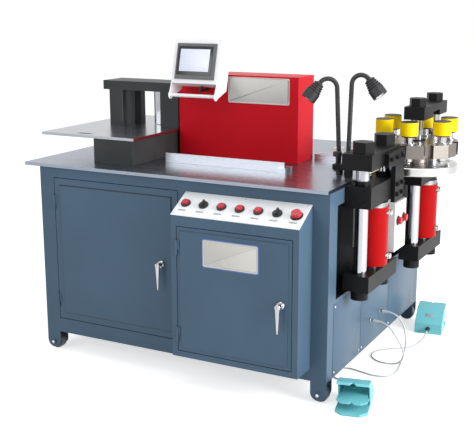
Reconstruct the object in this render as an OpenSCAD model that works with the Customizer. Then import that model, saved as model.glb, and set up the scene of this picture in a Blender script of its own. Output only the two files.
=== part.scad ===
// Busbar processing machine: shear, turret punch and bender round one cabinet.
// Millimetres, +Z up. X runs along the front from left to right, Y from front to back.

/* [Cabinet] */
// Width of the cabinet over its posts
cab_w = 1400; // [1380:10:1600]
// Depth of the cabinet over its posts
cab_d = 1200; // [1180:10:1300]
// Height of the table's top face
table_z = 880; // [870:1:920]
// Thickness of the table plate
table_t = 14; // [10:1:18]
// Overhang of the table on the left
table_left = 68; // [66:1:100]
// Overhang of the table at the front
table_front = 20; // [5:1:40]
// Overhang of the table at the back
table_rear = 10; // [2:1:40]
// Overhang of the table on the right
table_right = 0; // [0:1:8]
// Height of the lower edge of the panels
panel_z = 90; // [80:1:110]
// Thickness of the sheet metal
sheet = 3; // [2:0.5:4]
// Width of a corner post
post_w = 70; // [64:1:80]
// Depth of a corner post
post_d = 60; // [56:1:80]
// Wall of a corner post
post_t = 6; // [4:0.5:8]
// Section of the rails between the posts
rail = 40; // [30:1:50]

/* [Wheels] */
// Diameter of a wheel
wheel_d = 72; // [66:1:76]
// Diameter of an axle
axle_d = 12; // [10:1:16]
// Side gap between a wheel and its fork
wheel_gap = 1.5; // [1:0.1:3]

/* [Left door] */
// Width of the left door
door_w = 640; // [560:1:650]
// Height of the left door
door_h = 655; // [600:1:664]
// Height of the left door's lower edge
door_z = 160; // [150:1:168]
// Depth of a door's folded edge
door_fold = 20; // [14:1:26]
// Gap round a door
door_gap = 3; // [2:0.5:4]
// Inset of the raised field
field_inset = 32; // [20:1:50]
// Rise of the raised field
field_rise = 4; // [2:0.5:5]

/* [Control box] */
// Left side of the control box from the cabinet's middle
box_x = 60; // [50:1:70]
// Width of the control box
box_w = 568; // [540:1:575]
// Depth of the control box
box_d = 125; // [110:1:140]
// Height of the control box's lower edge
box_z = 142; // [130:1:160]
// Height where the front face meets the slope
box_slope_z = 744; // [735:1:755]
// Height where the slope meets the cabinet
box_top_z = 815; // [805:1:825]
// Inset of the box door from the sides and the lower edge
box_door_inset = 28; // [20:1:36]
// Distance of the box door below the slope
box_door_drop = 46; // [40:1:60]
// Thickness of the control panel
panel_t = 3; // [2:0.5:5]

/* [Controls] */
// Spacing of the controls on the slope
control_pitch = 82; // [70:1:84]
// Diameter of a push button's cap
button_d = 30; // [24:1:34]
// Diameter of the stop button's cap
stop_d = 42; // [36:1:50]
// Travel of a push button
button_travel = 5; // [3:0.5:6]
// Diameter of a control's stem
stem_d = 16; // [12:1:20]

/* [Handles] */
// Diameter of a door handle's rosette
rosette_d = 34; // [28:1:40]
// Length of a door handle's lever
lever_l = 105; // [80:1:120]
// Reach of a door handle in front of its door
handle_out = 36; // [30:1:44]

/* [Bender] */
// Distance of the bender's base block from the table's left edge
base_in = 288; // [270:1:300]
// Width of the base block
base_w = 205; // [190:1:210]
// Front of the base block from the cabinet's front
base_front = 110; // [90:1:130]
// Depth of the base block
base_d = 730; // [700:1:760]
// Height of the base block
base_h = 108; // [100:1:116]
// Thickness of the bending table
bend_t = 12; // [8:1:16]
// Distance of the bending table from the table's left edge
bend_in = 3; // [2:1:60]
// Depth of the bender's frame
frame_d = 160; // [150:1:168]
// Height of the space in the frame
throat_h = 165; // [155:1:175]
// Width of the die column
die_col_w = 78; // [70:1:90]
// Width of the ram's guide column
ram_col_w = 100; // [90:1:110]
// Thickness of the frame's top beam
top_beam_t = 43; // [36:1:50]
// Depth of the V die
die_t = 32; // [28:1:36]
// Diameter of the bender's ram
ram_d = 60; // [50:1:64]
// Travel of the bender's ram
ram_travel = 90; // [60:1:92]
// Outer diameter of the bending cylinder
bend_cyl_d = 120; // [110:1:130]
// Length of the bending cylinder
bend_cyl_l = 400; // [360:1:420]
// Length of the red cover
cover_l = 604; // [560:1:620]
// Depth of the red cover
cover_d = 170; // [160:1:180]
// Height of the red cover above the table
cover_h = 378; // [360:1:390]

/* [Display] */
// Width of the display housing
hmi_w = 235; // [225:1:260]
// Height of the display housing's face
hmi_h = 196; // [190:1:220]
// Depth of the display housing
hmi_d = 95; // [85:1:97]
// Backward tilt of the display
hmi_tilt = 14; // [10:1:16]
// Width of the display's bezel
bezel_w = 200; // [180:1:210]
// Height of the display's bezel
bezel_h = 160; // [140:1:165]
// Diameter of the handle tube
tube_d = 16; // [12:1:20]

/* [Press units] */
// Width of the shear's blocks
shear_w = 110; // [100:1:116]
// Width of the punch's blocks
punch_w = 92; // [86:1:100]
// Gap between the table's edge and the shear's blocks
shear_out = 1; // [0.5:0.5:10]
// Shear's front rod, from the cabinet's front
shear_rod_in = 200; // [180:1:220]
// Distance between the shear's rods
shear_pitch = 250; // [245:1:256]
// Distance of the punch's middle from the cabinet's side
punch_out = 100; // [96:1:106]
// Punch's front rod, from the cabinet's front
punch_rod_in = 755; // [745:1:765]
// Distance between the punch's rods
punch_pitch = 260; // [255:1:270]
// Length of a press block beyond a rod
rod_margin = 50; // [46:1:52]
// Diameter of a tie rod
rod_d = 54; // [48:1:58]
// Height of the bottom plates' lower face
plate_z = 440; // [430:1:450]
// Thickness of the bottom plates
plate_t = 68; // [60:1:72]
// Height of the lower blocks' lower face
block_z = 785; // [780:1:790]
// Diameter of the press cylinders
cyl_d = 136; // [126:1:140]
// Gap between a press cylinder and its bottom plate
cyl_gap = 12; // [8:1:20]
// Diameter of a piston rod
piston_d = 70; // [60:1:80]
// Width across the flats of the shear's top nuts
shear_nut_w = 78; // [72:1:84]
// Height of the shear's top nuts
shear_nut_h = 46; // [36:1:50]
// Width across the flats of the punch's top nuts
punch_nut_w = 66; // [60:1:72]
// Height of the punch's top nuts
punch_nut_h = 36; // [30:1:42]
// Diameter of a bottom nut
foot_nut_d = 72; // [64:1:80]

/* [Shear] */
// Gap between the shear's lower block and its beam
shear_gap = 64; // [60:1:70]
// Thickness of the shear's beam
shear_beam_t = 64; // [56:1:70]
// Reach of the shear's beam over the table
shear_over = 16; // [0:1:18]
// Drop of the shear's lower block below the table's top
shear_drop = 8; // [6:1:12]
// Length of the blades
blade_l = 135; // [120:1:140]
// Thickness of a blade
blade_t = 28; // [24:1:30]
// Travel of the shear
shear_travel = 26; // [16:1:28]
// Thickness of the guide plate
guide_t = 18; // [14:1:22]

/* [Punch] */
// Radius of the lower die disc
disc_r = 182; // [176:1:186]
// Thickness of the lower die disc
disc_t = 36; // [30:1:40]
// Radius of the upper turret plate over its corners
turret_r = 186; // [182:1:188]
// Thickness of the upper turret plate
turret_t = 57; // [50:1:60]
// Gap between the turret's plates
turret_gap = 40; // [36:1:48]
// Radius of the circle of punches
station_r = 147; // [144:1:148]
// Turn of the turret at rest
station_turn = 4; // [0:1:10]
// Half width of a notch in the upper plate
notch_half = 21; // [16:1:24]
// Depth of a notch in the upper plate
notch_in = 44; // [36:1:50]
// Diameter of a punch's guide
pin_d = 38; // [34:1:42]
// Diameter of a punch's tip
tip_d = 22; // [16:1:26]
// Height of the tips above the die disc
tip_gap = 14; // [12:1:16]
// Length of a guide between the upper plate and its cap
pin_show = 39; // [34:1:44]
// Diameter of a punch's cap
cap_d = 77; // [66:1:78]
// Height of a punch's cap
cap_h = 60; // [50:1:64]
// Travel of a punch and of the punch's beam
punch_travel = 18; // [16:1:18]
// Thickness of the punch's beam
punch_beam_t = 56; // [52:1:64]
// Reach of the punch's beam below the tops of the caps
beam_dip = 5; // [0:1:10]
// Outer diameter of the sleeve that the turret turns on
sleeve_d = 74; // [64:1:78]
// Diameter of the turret's hub
hub_d = 110; // [100:1:120]

/* [Rails] */
// Length of the fence
fence_l = 585; // [540:1:600]
// Height of the fence
fence_h = 42; // [36:1:48]
// Width of the feed rail
feed_w = 50; // [44:1:56]
// Travel of the feed stop to each side
stop_travel = 60; // [30:1:64]

/* [Lamps] */
// Diameter of a lamp's neck
neck_d = 20; // [14:1:22]
// Height of the straight stretch of the left neck
neck_h = 355; // [320:1:380]
// Extra height of the right neck
neck_more = 18; // [0:1:40]
// Radius of the bend in a neck
neck_bend = 40; // [36:1:50]
// Diameter of a lamp's head
lamp_d = 64; // [56:1:68]
// Length of a lamp's head
lamp_l = 84; // [76:1:90]

/* [Pedals] */
// Width of a pedal's housing
pedal_w = 130; // [120:1:150]
// Length of a pedal's housing
pedal_l = 200; // [190:1:220]
// Height of a pedal's housing
pedal_h = 118; // [112:1:130]
// Wall of a pedal's hood
pedal_t = 6; // [5:0.5:7]
// Thickness of a pedal's base
pedal_base_t = 12; // [10:1:14]
// Height of a pedal's back wall
pedal_back = 50; // [44:1:56]
// Diameter of the cords
cord_d = 7; // [6:0.5:8]

/* [Fits] */
// Radial clearance of a running fit
fit = 0.05; // [0.03:0.01:0.1]
// Gap between faces that pass each other
pass = 0.5; // [0.3:0.1:1]

/* [Hidden] */
$fn = 64;

// Gap under a piece that sits on its neighbour
seat = 0.3;

// Cabinet's faces
left_x = -cab_w / 2;
right_x = cab_w / 2;
front_y = -cab_d / 2;
rear_y = cab_d / 2;
table_under = table_z - table_t;
post_x = cab_w / 2 - post_w / 2;
post_y = cab_d / 2 - post_d / 2;
axle_z = wheel_d / 2;
fork_z = 44;
wheel_w = post_d - 2 * post_t - 2 * wheel_gap;

// Left door, hinged on its left edge
door_x = left_x + post_w + door_gap + 5;
hinge_r = 5;
hinge_pin_d = 4;
hinge_h = 40;
knuckle_h = 22;
leaf_w = 14;
leaf_t = 3;
hinge_in = 1.5;
hinge_out = hinge_r + seat;
door_hinge = [door_x - hinge_in, front_y - hinge_out];
door_handle_in = 83;
door_handle_z = door_z + door_h / 2 + 2;

// Control box
box_x1 = box_x + box_w;
box_front = front_y - box_d;
box_door_x = box_x + box_door_inset;
box_door_w = box_w - 2 * box_door_inset;
box_door_z = box_z + box_door_inset;
box_door_h = box_slope_z - box_door_drop - box_door_z;
box_hinge = [box_door_x - hinge_in, box_front - hinge_out];
box_handle_in = 44;
box_handle_z = box_door_z + box_door_h / 2 + 2;
slope_a = atan2(box_top_z - box_slope_z, box_d);
slope_l = norm([box_d, box_top_z - box_slope_z]);
control_x = box_x + box_w / 2 - 3 * control_pitch;
stem_bore = stem_d + 2 * pass;

// Bender
left_end = left_x - table_left;
base_x = left_end + base_in;
bend_left = left_end + bend_in;
base_y = front_y + base_front;
bend_z = table_z + base_h;
throat_z = bend_z + bend_t;
bend_right = base_x + base_w + 10;
bend_y = -30;
ram_col_x = bend_right - 2 - ram_col_w;
former_r = 20;
former_l = 40;
former_clear = 3;
former_back = 20;
former_end = 8;
former_x = ram_col_x - former_back - former_l;
throat_w = die_t + former_end + ram_travel + former_r + former_l + former_back;
die_face_x = ram_col_x - throat_w;
die_col_x = die_face_x - die_col_w;
ram_z = throat_z + throat_h / 2 + 2;
ram_tail = 340;
cover_x = bend_right + 7;

// Display
hmi_x = cover_x + 36;
cover_front = bend_y - cover_d / 2;
hmi_y = cover_front - 130;
hmi_z = table_z + cover_h - 33;
cheek_tip = [6, -54];
cheek_r = 18;
lead_d = 14;
lead_drop = 36;

// Press units
shear_x = right_x + table_right + shear_out + shear_w / 2;
shear_y = front_y + shear_rod_in;
punch_x = right_x + punch_out;
punch_y = front_y + punch_rod_in;
shear_top = table_z - shear_drop;
shear_beam_z = shear_top + shear_gap;
disc_z = table_z + 4 - disc_t;
punch_block_top = disc_z - 2;
turret_z = disc_z + disc_t + turret_gap;
turret_top = turret_z + turret_t;
neck_l = 6;
cap_z = turret_top + pin_show;
cap_top = cap_z + cap_h;
punch_beam_z = cap_top - beam_dip;
relief_h = beam_dip + punch_travel + 2;
relief_gap = 7;
tip_h = 8;
die_clear = 0.3;
pin_z = disc_z + disc_t + tip_gap;
cyl_z = plate_z + plate_t + cyl_gap;
piston_l = 150;
stations = [for (k = [0:5]) 90 + station_turn - 60 * k];

// Recess in the right side that the press units stand in
recess_d = 100;
recess_z = 420;
recess_top = 805;
recess_y0 = front_y + 22 + post_d;
recess_y1 = rear_y - post_d - 70;
notch_r = disc_r + 10;
liner_x = right_x - recess_d;
shear_arm = [shear_y - 30, shear_y + shear_pitch + 30];
punch_arm = [punch_y + 30, punch_y + punch_pitch - 10];
arm_top = table_under - 8;
notch_y0 = punch_y - notch_r;
notch_y1 = punch_y + notch_r;

// Side switch box
switch_y = 0;
switch_w = 150;
switch_h = 215;
switch_z = 520;
switch_out = 90;
mushroom_d = 34;
mushroom_z = 655;

// Shear blades and hold-down
shear_mid = shear_y + shear_pitch / 2;
blade_x = shear_x - shear_w / 2 + 2;
blade_y = shear_mid - blade_l / 2 - 12;
cut_x = blade_x + blade_t;
blade_pass = 2;
blade_h = shear_gap - shear_drop - shear_travel + blade_pass;
hold_x = right_x - 95;
hold_y = shear_mid - 20;
hold_d = 14;
hold_travel = 18;

// Rails and lamps
fence_x = bend_right + 65;
fence_y = front_y + 262;
fence_flange = 30;
fence_t = 5;
feed_x = cover_x + cover_l + 20;
feed_y = punch_y - 100;
feed_h = 25;
stop_l = 40;
stop_end = 30;
feed_l = stop_l + 2 * (stop_travel + stop_end);
slot_w = 14;
slot_h = 12;
lamp_y = shear_mid + 30;
lamp_x1 = right_x - 104;
lamp_x2 = right_x - 66;
lamp_step = 8;
lamp_base_d = 30;
lamp_turn = 140;
lamp_swing = 35;
lamp_lean1 = 3;
lamp_lean2 = 1.5;

// Pedals: place, turn about Z, and pivot of the pedal plate in the pedal's own frame
front_pedal_at = [right_x + 105, -560, 0];
front_pedal_turn = 12;
rear_pedal_at = [right_x + 112, 492, 0];
rear_pedal_turn = 180 + 8;
pivot_d = 8;
pivot_y = pedal_l / 2 - 45;
pivot_z = 52;
pedal_rise = -2;
gland_z = 26;
gland_d = 16;
gland_l = 22;

// Cord glands on the right side
gland_a = [right_x + seat, 16, 214];
gland_b = [right_x + seat, -105, 206];

// Ends of the cords at the pedals' glands
function turned(at, a, p) = at + [cos(a) * p[0] - sin(a) * p[1], sin(a) * p[0] + cos(a) * p[1], p[2]];
cord_lead = 30;
pedal_cord_end = [0, pedal_l / 2 + seat + gland_l, gland_z];
pedal_cord_lead = pedal_cord_end + [0, cord_lead, 0];
cord_z = cord_d / 2 + 0.5;

// Routes of the two pedal cords from the side panel to the pedals, in places measured from the panel
front_cord_middle = [
    [90, 18, 198], [114, 26, 162], [121, 38, 118], [125, 42, 70], [124, 28, 30], [125, -8, 8], [138, -78, 5],
    [145, -150, cord_z], [128, -212, cord_z], [72, -230, cord_z], [8, -217, cord_z], [-56, -206, cord_z],
    [-100, -234, cord_z], [-104, -288, cord_z], [-66, -332, cord_z], [-10, -350, 7], [52, -370, 20]
];
rear_cord_middle = [
    [92, -107, 189], [122, -102, 150], [142, -88, 108], [151, -74, 66], [142, -66, 28], [112, -67, 7],
    [66, -73, cord_z], [22, -60, cord_z], [-14, -20, cord_z], [-20, 32, cord_z], [4, 80, cord_z],
    [48, 118, cord_z], [92, 152, cord_z], [120, 202, cord_z], [130, 260, 6], [134, 306, 16]
];

function cord_route(gland, middle_points, at, a) = concat(
    [gland + [gland_l, 0, 0], gland + [gland_l + cord_lead, 0, 0]],
    [for (p = middle_points) p + [right_x, 0, 0]],
    [turned(at, a, pedal_cord_lead), turned(at, a, pedal_cord_end)]
);
front_cord_route = cord_route(gland_a, front_cord_middle, front_pedal_at, front_pedal_turn);
rear_cord_route = cord_route(gland_b, rear_cord_middle, rear_pedal_at, rear_pedal_turn);

// Middle of the finished machine's box, which the origin stands under
right_end = punch_x + disc_r;
front_end = box_front - field_rise - handle_out;
rear_end = rear_y + table_rear;
middle = [(left_end + right_end) / 2, (front_end + rear_end) / 2, 0];

module centred() translate(-middle) children();

// Box between two corners
module slab(a, b) translate(a) cube(b - a);

// Flat outline in X and Z, standing with its front face at y
module wall_xz(y, t) translate([0, y + t, 0]) rotate([90, 0, 0]) linear_extrude(t) children();

// Flat outline in Y and Z, standing with its left face at x
module wall_yz(x, t) translate([x, 0, 0]) rotate([90, 0, 90]) linear_extrude(t) children();

// Round bar from a point along X or Y
module bar_x(at, d, l) translate(at) rotate([0, 90, 0]) cylinder(d = d, h = l);
module bar_y(at, d, l) translate(at) rotate([-90, 0, 0]) cylinder(d = d, h = l);

// Outline in X and Z given by two corners
module rect(x0, z0, x1, z1) translate([x0, z0]) square([x1 - x0, z1 - z0]);

// Corner post with the fork for a wheel at its foot
module post() {
    difference() {
        slab([-post_w / 2, -post_d / 2, panel_z], [post_w / 2, post_d / 2, table_under]);
        slab([-post_w / 2 + post_t, -post_d / 2 + post_t, panel_z - 1],
             [post_w / 2 - post_t, post_d / 2 - post_t, table_under - post_t]);
    }
    difference() {
        for (y = [-post_d / 2, post_d / 2 - post_t])
            wall_xz(y, post_t) {
                rect(-post_w / 2, fork_z, post_w / 2, panel_z);
                translate([0, fork_z]) circle(d = post_w);
            }
        bar_y([0, -post_d, axle_z], axle_d + 2 * fit, 2 * post_d);
    }
    bar_y([0, -post_d / 2 - 5, axle_z], axle_d, post_d + 10);
    for (y = [-post_d / 2 - 7, post_d / 2])
        bar_y([0, y, axle_z], axle_d + 10, 7);
}

module rails(z) {
    for (y = [front_y + sheet, rear_y - sheet - rail])
        slab([left_x + post_w, y, z], [right_x - post_w, y + rail, z + rail]);
    slab([left_x + sheet, front_y + post_d, z], [left_x + sheet + rail, rear_y - post_d, z + rail]);
}

module cabinet_frame() {
    color("slategray") {
        for (x = [-post_x, post_x], y = [-post_y, post_y])
            translate([x, y, 0]) post();
        rails(panel_z);
        rails(table_under - rail);
        slab([right_x - sheet - rail, front_y + post_d, panel_z],
             [right_x - sheet, rear_y - post_d, panel_z + rail]);
        slab([door_x + door_w + 2 * door_gap, front_y + sheet, panel_z + rail],
             [door_x + door_w + 2 * door_gap + rail, front_y + sheet + rail, table_under - rail]);
    }
}

// Round gland with a hexagon against its wall, along +X
module gland_x() {
    rotate([0, 90, 0]) cylinder(d = gland_d + 6, h = 7, $fn = 6);
    bar_x([0, 0, 0], gland_d, gland_l);
}

module side_outline() rect(front_y + post_d, panel_z, rear_y - post_d, table_under);

module cabinet_panels() {
    color("slategray") {
        wall_xz(front_y, sheet) difference() {
            rect(left_x + post_w, panel_z, right_x - post_w, table_under);
            rect(door_x - door_gap, door_z - door_gap,
                 door_x + door_w + door_gap, door_z + door_h + door_gap);
        }
        wall_xz(rear_y - sheet, sheet) rect(left_x + post_w, panel_z, right_x - post_w, table_under);
        wall_yz(left_x, sheet) side_outline();
        wall_yz(right_x - sheet, sheet) difference() {
            side_outline();
            rect(recess_y0, recess_z, recess_y1, recess_top);
            rect(notch_y0, recess_top - 1, notch_y1, table_under + 1);
            rect(shear_arm[0] - pass, recess_top - 1, shear_arm[1] + pass, arm_top + pass);
            rect(punch_arm[0] - pass, recess_top - 1, punch_arm[1] + pass, arm_top + pass);
        }
        wall_knuckles(door_hinge, door_z, door_h);
        translate([0, 0, panel_z]) linear_extrude(sheet) {
            square([cab_w - 2 * post_w, cab_d - 2 * (sheet + rail)], center = true);
            square([cab_w - 2 * (sheet + rail), cab_d - 2 * post_d], center = true);
        }
    }
    color("dimgray") {
        wall_yz(liner_x - sheet, sheet)
            rect(recess_y0 - sheet, recess_z - sheet, recess_y1 + sheet, table_under);
        slab([liner_x, recess_y0 - sheet, recess_z - sheet], [right_x - sheet, recess_y1 + sheet, recess_z]);
        for (y = [recess_y0 - sheet, recess_y1])
            slab([liner_x, y, recess_z], [right_x - sheet, y + sheet, table_under]);
        for (at = [gland_a, gland_b])
            translate(at) gland_x();
    }
}

module table_top() {
    color("silver") difference() {
        slab([left_x - table_left, front_y - table_front, table_under],
             [right_x + table_right, rear_y + table_rear, table_z]);
        translate([punch_x, punch_y, table_under - 1]) cylinder(r = notch_r, h = table_t + 2, $fn = 128);
    }
}

module wheel() {
    hub_r = 16;
    rim_w = wheel_w - 10;
    edge = 4;
    color("dimgray") rotate([90, 0, 0]) rotate_extrude() polygon([
        [axle_d / 2 + fit, -wheel_w / 2], [hub_r, -wheel_w / 2], [hub_r + 4, -rim_w / 2],
        [wheel_d / 2 - edge, -rim_w / 2], [wheel_d / 2, -rim_w / 2 + edge], [wheel_d / 2, rim_w / 2 - edge],
        [wheel_d / 2 - edge, rim_w / 2], [hub_r + 4, rim_w / 2], [hub_r, wheel_w / 2],
        [axle_d / 2 + fit, wheel_w / 2]
    ]);
}

module wheel_front_left() translate([-post_x, -post_y, axle_z]) wheel();
module wheel_front_right() translate([post_x, -post_y, axle_z]) wheel();
module wheel_rear_left() translate([-post_x, post_y, axle_z]) wheel();
module wheel_rear_right() translate([post_x, post_y, axle_z]) wheel();

// Oil tank with its motor, pump and valve block, on the floor of the left compartment
module hydraulic_unit() {
    floor_z = panel_z + sheet;
    tank = [520, 460, 300];
    tank_at = [left_x + 150, -tank[1] / 2 + 40, floor_z];
    motor_at = tank_at + [150, tank[1] / 2, tank[2]];
    color("steelblue") {
        translate(tank_at) cube(tank);
        translate(motor_at) cylinder(d = 150, h = 20);
        translate(motor_at + [0, 0, 20]) cylinder(d = 185, h = 210);
        for (a = [0:15:345])
            translate(motor_at + [0, 0, 30]) rotate(a) translate([90, -2, 0]) cube([10, 4, 180]);
        translate(motor_at + [0, 0, 230]) cylinder(d1 = 185, d2 = 150, h = 30);
    }
    color("silver") {
        translate(tank_at + [300, 130, tank[2]]) cube([160, 200, 70]);
        for (k = [0:2])
            translate(tank_at + [320, 140 + 64 * k, tank[2] + 70]) cube([120, 46, 80]);
        translate(tank_at + [470, 60, tank[2]]) cylinder(d = 50, h = 40);
    }
}

module box_outline() polygon([
    [front_y, box_z], [box_front, box_z], [box_front, box_slope_z], [front_y, box_top_z]
]);

module control_box() {
    color("slategray") {
        for (x = [box_x, box_x1 - sheet])
            wall_yz(x, sheet) box_outline();
        slab([box_x, box_front, box_z], [box_x1, front_y, box_z + sheet]);
        wall_xz(box_front, sheet) difference() {
            rect(box_x, box_z, box_x1, box_slope_z);
            rect(box_door_x - door_gap, box_door_z - door_gap,
                 box_door_x + box_door_w + door_gap, box_door_z + box_door_h + door_gap);
        }
        wall_knuckles(box_hinge, box_door_z, box_door_h);
    }
}

// Places a child on the slope: X along the panel, Z along its normal
module on_slope(x) translate([x, box_front, box_slope_z]) rotate([slope_a, 0, 0])
    translate([0, slope_l / 2, panel_t]) children();

module control_panel() {
    collar_h = 7;
    color("white") difference() {
        union() {
            translate([0, box_front, box_slope_z]) rotate([slope_a, 0, 0])
                slab([box_x, 0, 0], [box_x1, slope_l, panel_t]);
            for (k = [0:5])
                on_slope(control_x + k * control_pitch) cylinder(d = button_d + 8, h = collar_h);
        }
        for (k = [0:6])
            on_slope(control_x + k * control_pitch)
                translate([0, 0, -panel_t - 1]) cylinder(d = stem_bore, h = panel_t + 2);
        for (k = [0:5])
            on_slope(control_x + k * control_pitch) cylinder(d = button_d + 2 * pass, h = collar_h + 1);
    }
}

// Mounting plate with rows of switchgear on the back wall of the control box
module electrical_plate() {
    plate_x = box_x + 30;
    plate_w = box_w - 60;
    unit = [44, 50, 80];
    color("lightgray") {
        slab([plate_x, front_y - sheet, box_z + 40], [plate_x + plate_w, front_y, box_slope_z - 40]);
        for (row = [0:2], k = [0:7])
            translate([plate_x + 30 + k * 58, front_y - sheet - unit[1], box_z + 80 + row * 180]) cube(unit);
    }
}

// Folded door with a raised field: its outer lower left corner is at the origin, facing -Y
module door_pan(w, h, inset, shaft_x, shaft_z) {
    difference() {
        union() {
            cube([w, door_fold, h]);
            translate([inset, -field_rise, inset]) cube([w - 2 * inset, field_rise, h - 2 * inset]);
        }
        translate([sheet, sheet, sheet]) cube([w - 2 * sheet, door_fold, h - 2 * sheet]);
        bar_y([shaft_x, -door_fold, shaft_z], 12 + 2 * fit, 2 * door_fold);
    }
}

// Heights of a door's two hinges
function hinge_heights(z0, h) = [z0 + h * 0.12, z0 + h * 0.82];

// Hinge halves on a door: barrels with their leaves, round the axis
module door_barrels(axis, z0, h) {
    for (z = hinge_heights(z0, h))
        difference() {
            union() {
                translate([axis[0], axis[1], z]) cylinder(r = hinge_r, h = hinge_h);
                translate([axis[0], axis[1] + hinge_out - leaf_t, z]) cube([leaf_w, leaf_t, hinge_h]);
            }
            translate([axis[0], axis[1], z - 1]) cylinder(d = hinge_pin_d + 2 * fit, h = hinge_h + 2);
        }
}

// Hinge halves on the wall beside a door: knuckles with their leaves and the pins
module wall_knuckles(axis, z0, h) {
    for (z = hinge_heights(z0, h))
        translate([axis[0], axis[1], z - pass - knuckle_h]) {
            cylinder(r = hinge_r, h = knuckle_h);
            cylinder(d = hinge_pin_d, h = knuckle_h + pass + hinge_h);
            translate([-leaf_w, hinge_out - leaf_t, 0]) cube([leaf_w, leaf_t, knuckle_h]);
        }
}

module left_door() {
    color("slategray") {
        translate([door_x, front_y, door_z])
            door_pan(door_w, door_h, field_inset, door_w - door_handle_in, door_handle_z - door_z);
        door_barrels(door_hinge, door_z, door_h);
    }
}

module box_door() {
    color("slategray") {
        translate([box_door_x, box_front, box_door_z])
            door_pan(box_door_w, box_door_h, field_inset / 2,
                     box_door_w - box_handle_in, box_handle_z - box_door_z);
        door_barrels(box_hinge, box_door_z, box_door_h);
    }
}

// Chrome L-handle: rosette, neck and lever in front of the door, shaft and cam behind
module door_handle() {
    lever_w = 16;
    lever_t = 10;
    lever_y = -handle_out;
    color("silver") {
        bar_y([0, -8, 0], rosette_d, 8 - seat);
        bar_y([0, lever_y, 0], 14, handle_out);
        difference() {
            union() {
                bar_y([0, lever_y, 0], lever_w + 8, lever_t);
                translate([-lever_w / 2, lever_y, -lever_l]) cube([lever_w, lever_t, lever_l]);
                bar_y([0, lever_y, -lever_l], lever_w, lever_t);
            }
            bar_y([0, lever_y - 1, 0], 6, 4);
        }
        bar_y([0, -seat, 0], 12, field_rise + sheet + 12);
        translate([-8, field_rise + sheet + 2, -26]) cube([16, 5, 34]);
    }
}

module left_door_handle()
    translate([door_x + door_w - door_handle_in, front_y - field_rise, door_handle_z]) door_handle();
module box_door_handle()
    translate([box_door_x + box_door_w - box_handle_in, box_front - field_rise, box_handle_z]) door_handle();

// Push button with its stem through the panel
module push_button(d, h) {
    rise = button_travel + 1;
    translate([0, 0, rise]) cylinder(d1 = d, d2 = d - 4, h = h);
    translate([0, 0, -20]) cylinder(d = stem_d, h = 20 + rise);
}

module panel_button(k) color("red") on_slope(control_x + k * control_pitch) push_button(button_d, 9);
module push_button_1() panel_button(0);
module push_button_2() panel_button(2);
module push_button_3() panel_button(3);
module push_button_4() panel_button(4);
module stop_button() color("red") on_slope(control_x + 6 * control_pitch) push_button(stop_d, 14);

// Selector with a raised grip
module selector(k) {
    color("black") on_slope(control_x + k * control_pitch) {
        translate([0, 0, pass]) cylinder(d = button_d, h = 10);
        translate([-4, -button_d / 2, pass + 10]) cube([8, button_d, 9]);
        translate([0, 0, -20]) cylinder(d = stem_d, h = 20 + pass);
    }
}

module selector_1() selector(1);
module selector_2() selector(5);

module bender_base() {
    color("dimgray") slab([base_x, base_y, table_z], [base_x + base_w, base_y + base_d, bend_z]);
}

module bender_table() {
    slot_l = 60;
    color("silver") difference() {
        slab([bend_left, base_y - 5, bend_z], [bend_right, base_y + base_d + 10, throat_z]);
        for (at = [[bend_left + 180, base_y + 40], [die_face_x + throat_w / 2, bend_y + frame_d]])
            translate([at[0], at[1], bend_z - 1]) {
                cylinder(d = 22, h = bend_t + 2);
                translate([0, -11, 0]) cube([slot_l, 22, bend_t + 2]);
                translate([slot_l, 0, 0]) cylinder(d = 22, h = bend_t + 2);
            }
    }
}

// Closed frame: die column with its V die, guide column and top beam
module bender_frame() {
    y0 = bend_y - frame_d / 2;
    y1 = bend_y + frame_d / 2;
    beam_z = throat_z + throat_h;
    die_w = frame_d - 30;
    color("dimgray") difference() {
        union() {
            slab([die_col_x, y0, throat_z], [die_face_x, y1, beam_z]);
            slab([ram_col_x, y0, throat_z], [ram_col_x + ram_col_w, y1, beam_z]);
            slab([die_col_x - 34, y0, beam_z], [ram_col_x + ram_col_w, y1, beam_z + top_beam_t]);
            slab([die_face_x, bend_y - die_w / 2, throat_z],
                 [die_face_x + die_t, bend_y + die_w / 2, beam_z]);
        }
        translate([die_face_x + die_t, bend_y, throat_z - 1]) rotate(45)
            translate([-die_t * 0.6, -die_t * 0.6, 0]) cube([die_t * 1.2, die_t * 1.2, throat_h + 1]);
        bar_x([ram_col_x - 1, bend_y, ram_z], ram_d + 2 * fit, ram_col_w + 2);
    }
}

module bender_ram() {
    color("silver") {
        bar_x([former_x + former_l, bend_y, ram_z], ram_d, ram_tail);
        translate([former_x, bend_y, throat_z + former_clear])
            cylinder(r = former_r, h = throat_h - 2 * former_clear);
        slab([former_x, bend_y - former_r, throat_z + former_clear],
             [former_x + former_l, bend_y + former_r, throat_z + throat_h - former_clear]);
    }
}

module bender_cylinder() {
    x0 = ram_col_x + ram_col_w;
    color("red") difference() {
        union() {
            bar_x([x0, bend_y, ram_z], bend_cyl_d, bend_cyl_l);
            slab([x0, bend_y - 62, ram_z - 62], [x0 + 4, bend_y + 62, ram_z + 62]);
            slab([x0 + bend_cyl_l - 60, bend_y - 50, table_z], [x0 + bend_cyl_l - 20, bend_y + 50, ram_z]);
        }
        bar_x([x0 - 1, bend_y, ram_z], ram_d + 2 * fit, bend_cyl_l - 30);
    }
}

module bender_cover() {
    y0 = bend_y - cover_d / 2;
    y1 = bend_y + cover_d / 2;
    top = table_z + cover_h;
    color("red") difference() {
        slab([cover_x, y0, table_z], [cover_x + cover_l, y1, top]);
        slab([cover_x - 1, y0 + sheet, table_z - 1], [cover_x + cover_l - sheet, y1 - sheet, top - sheet]);
    }
}

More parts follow.
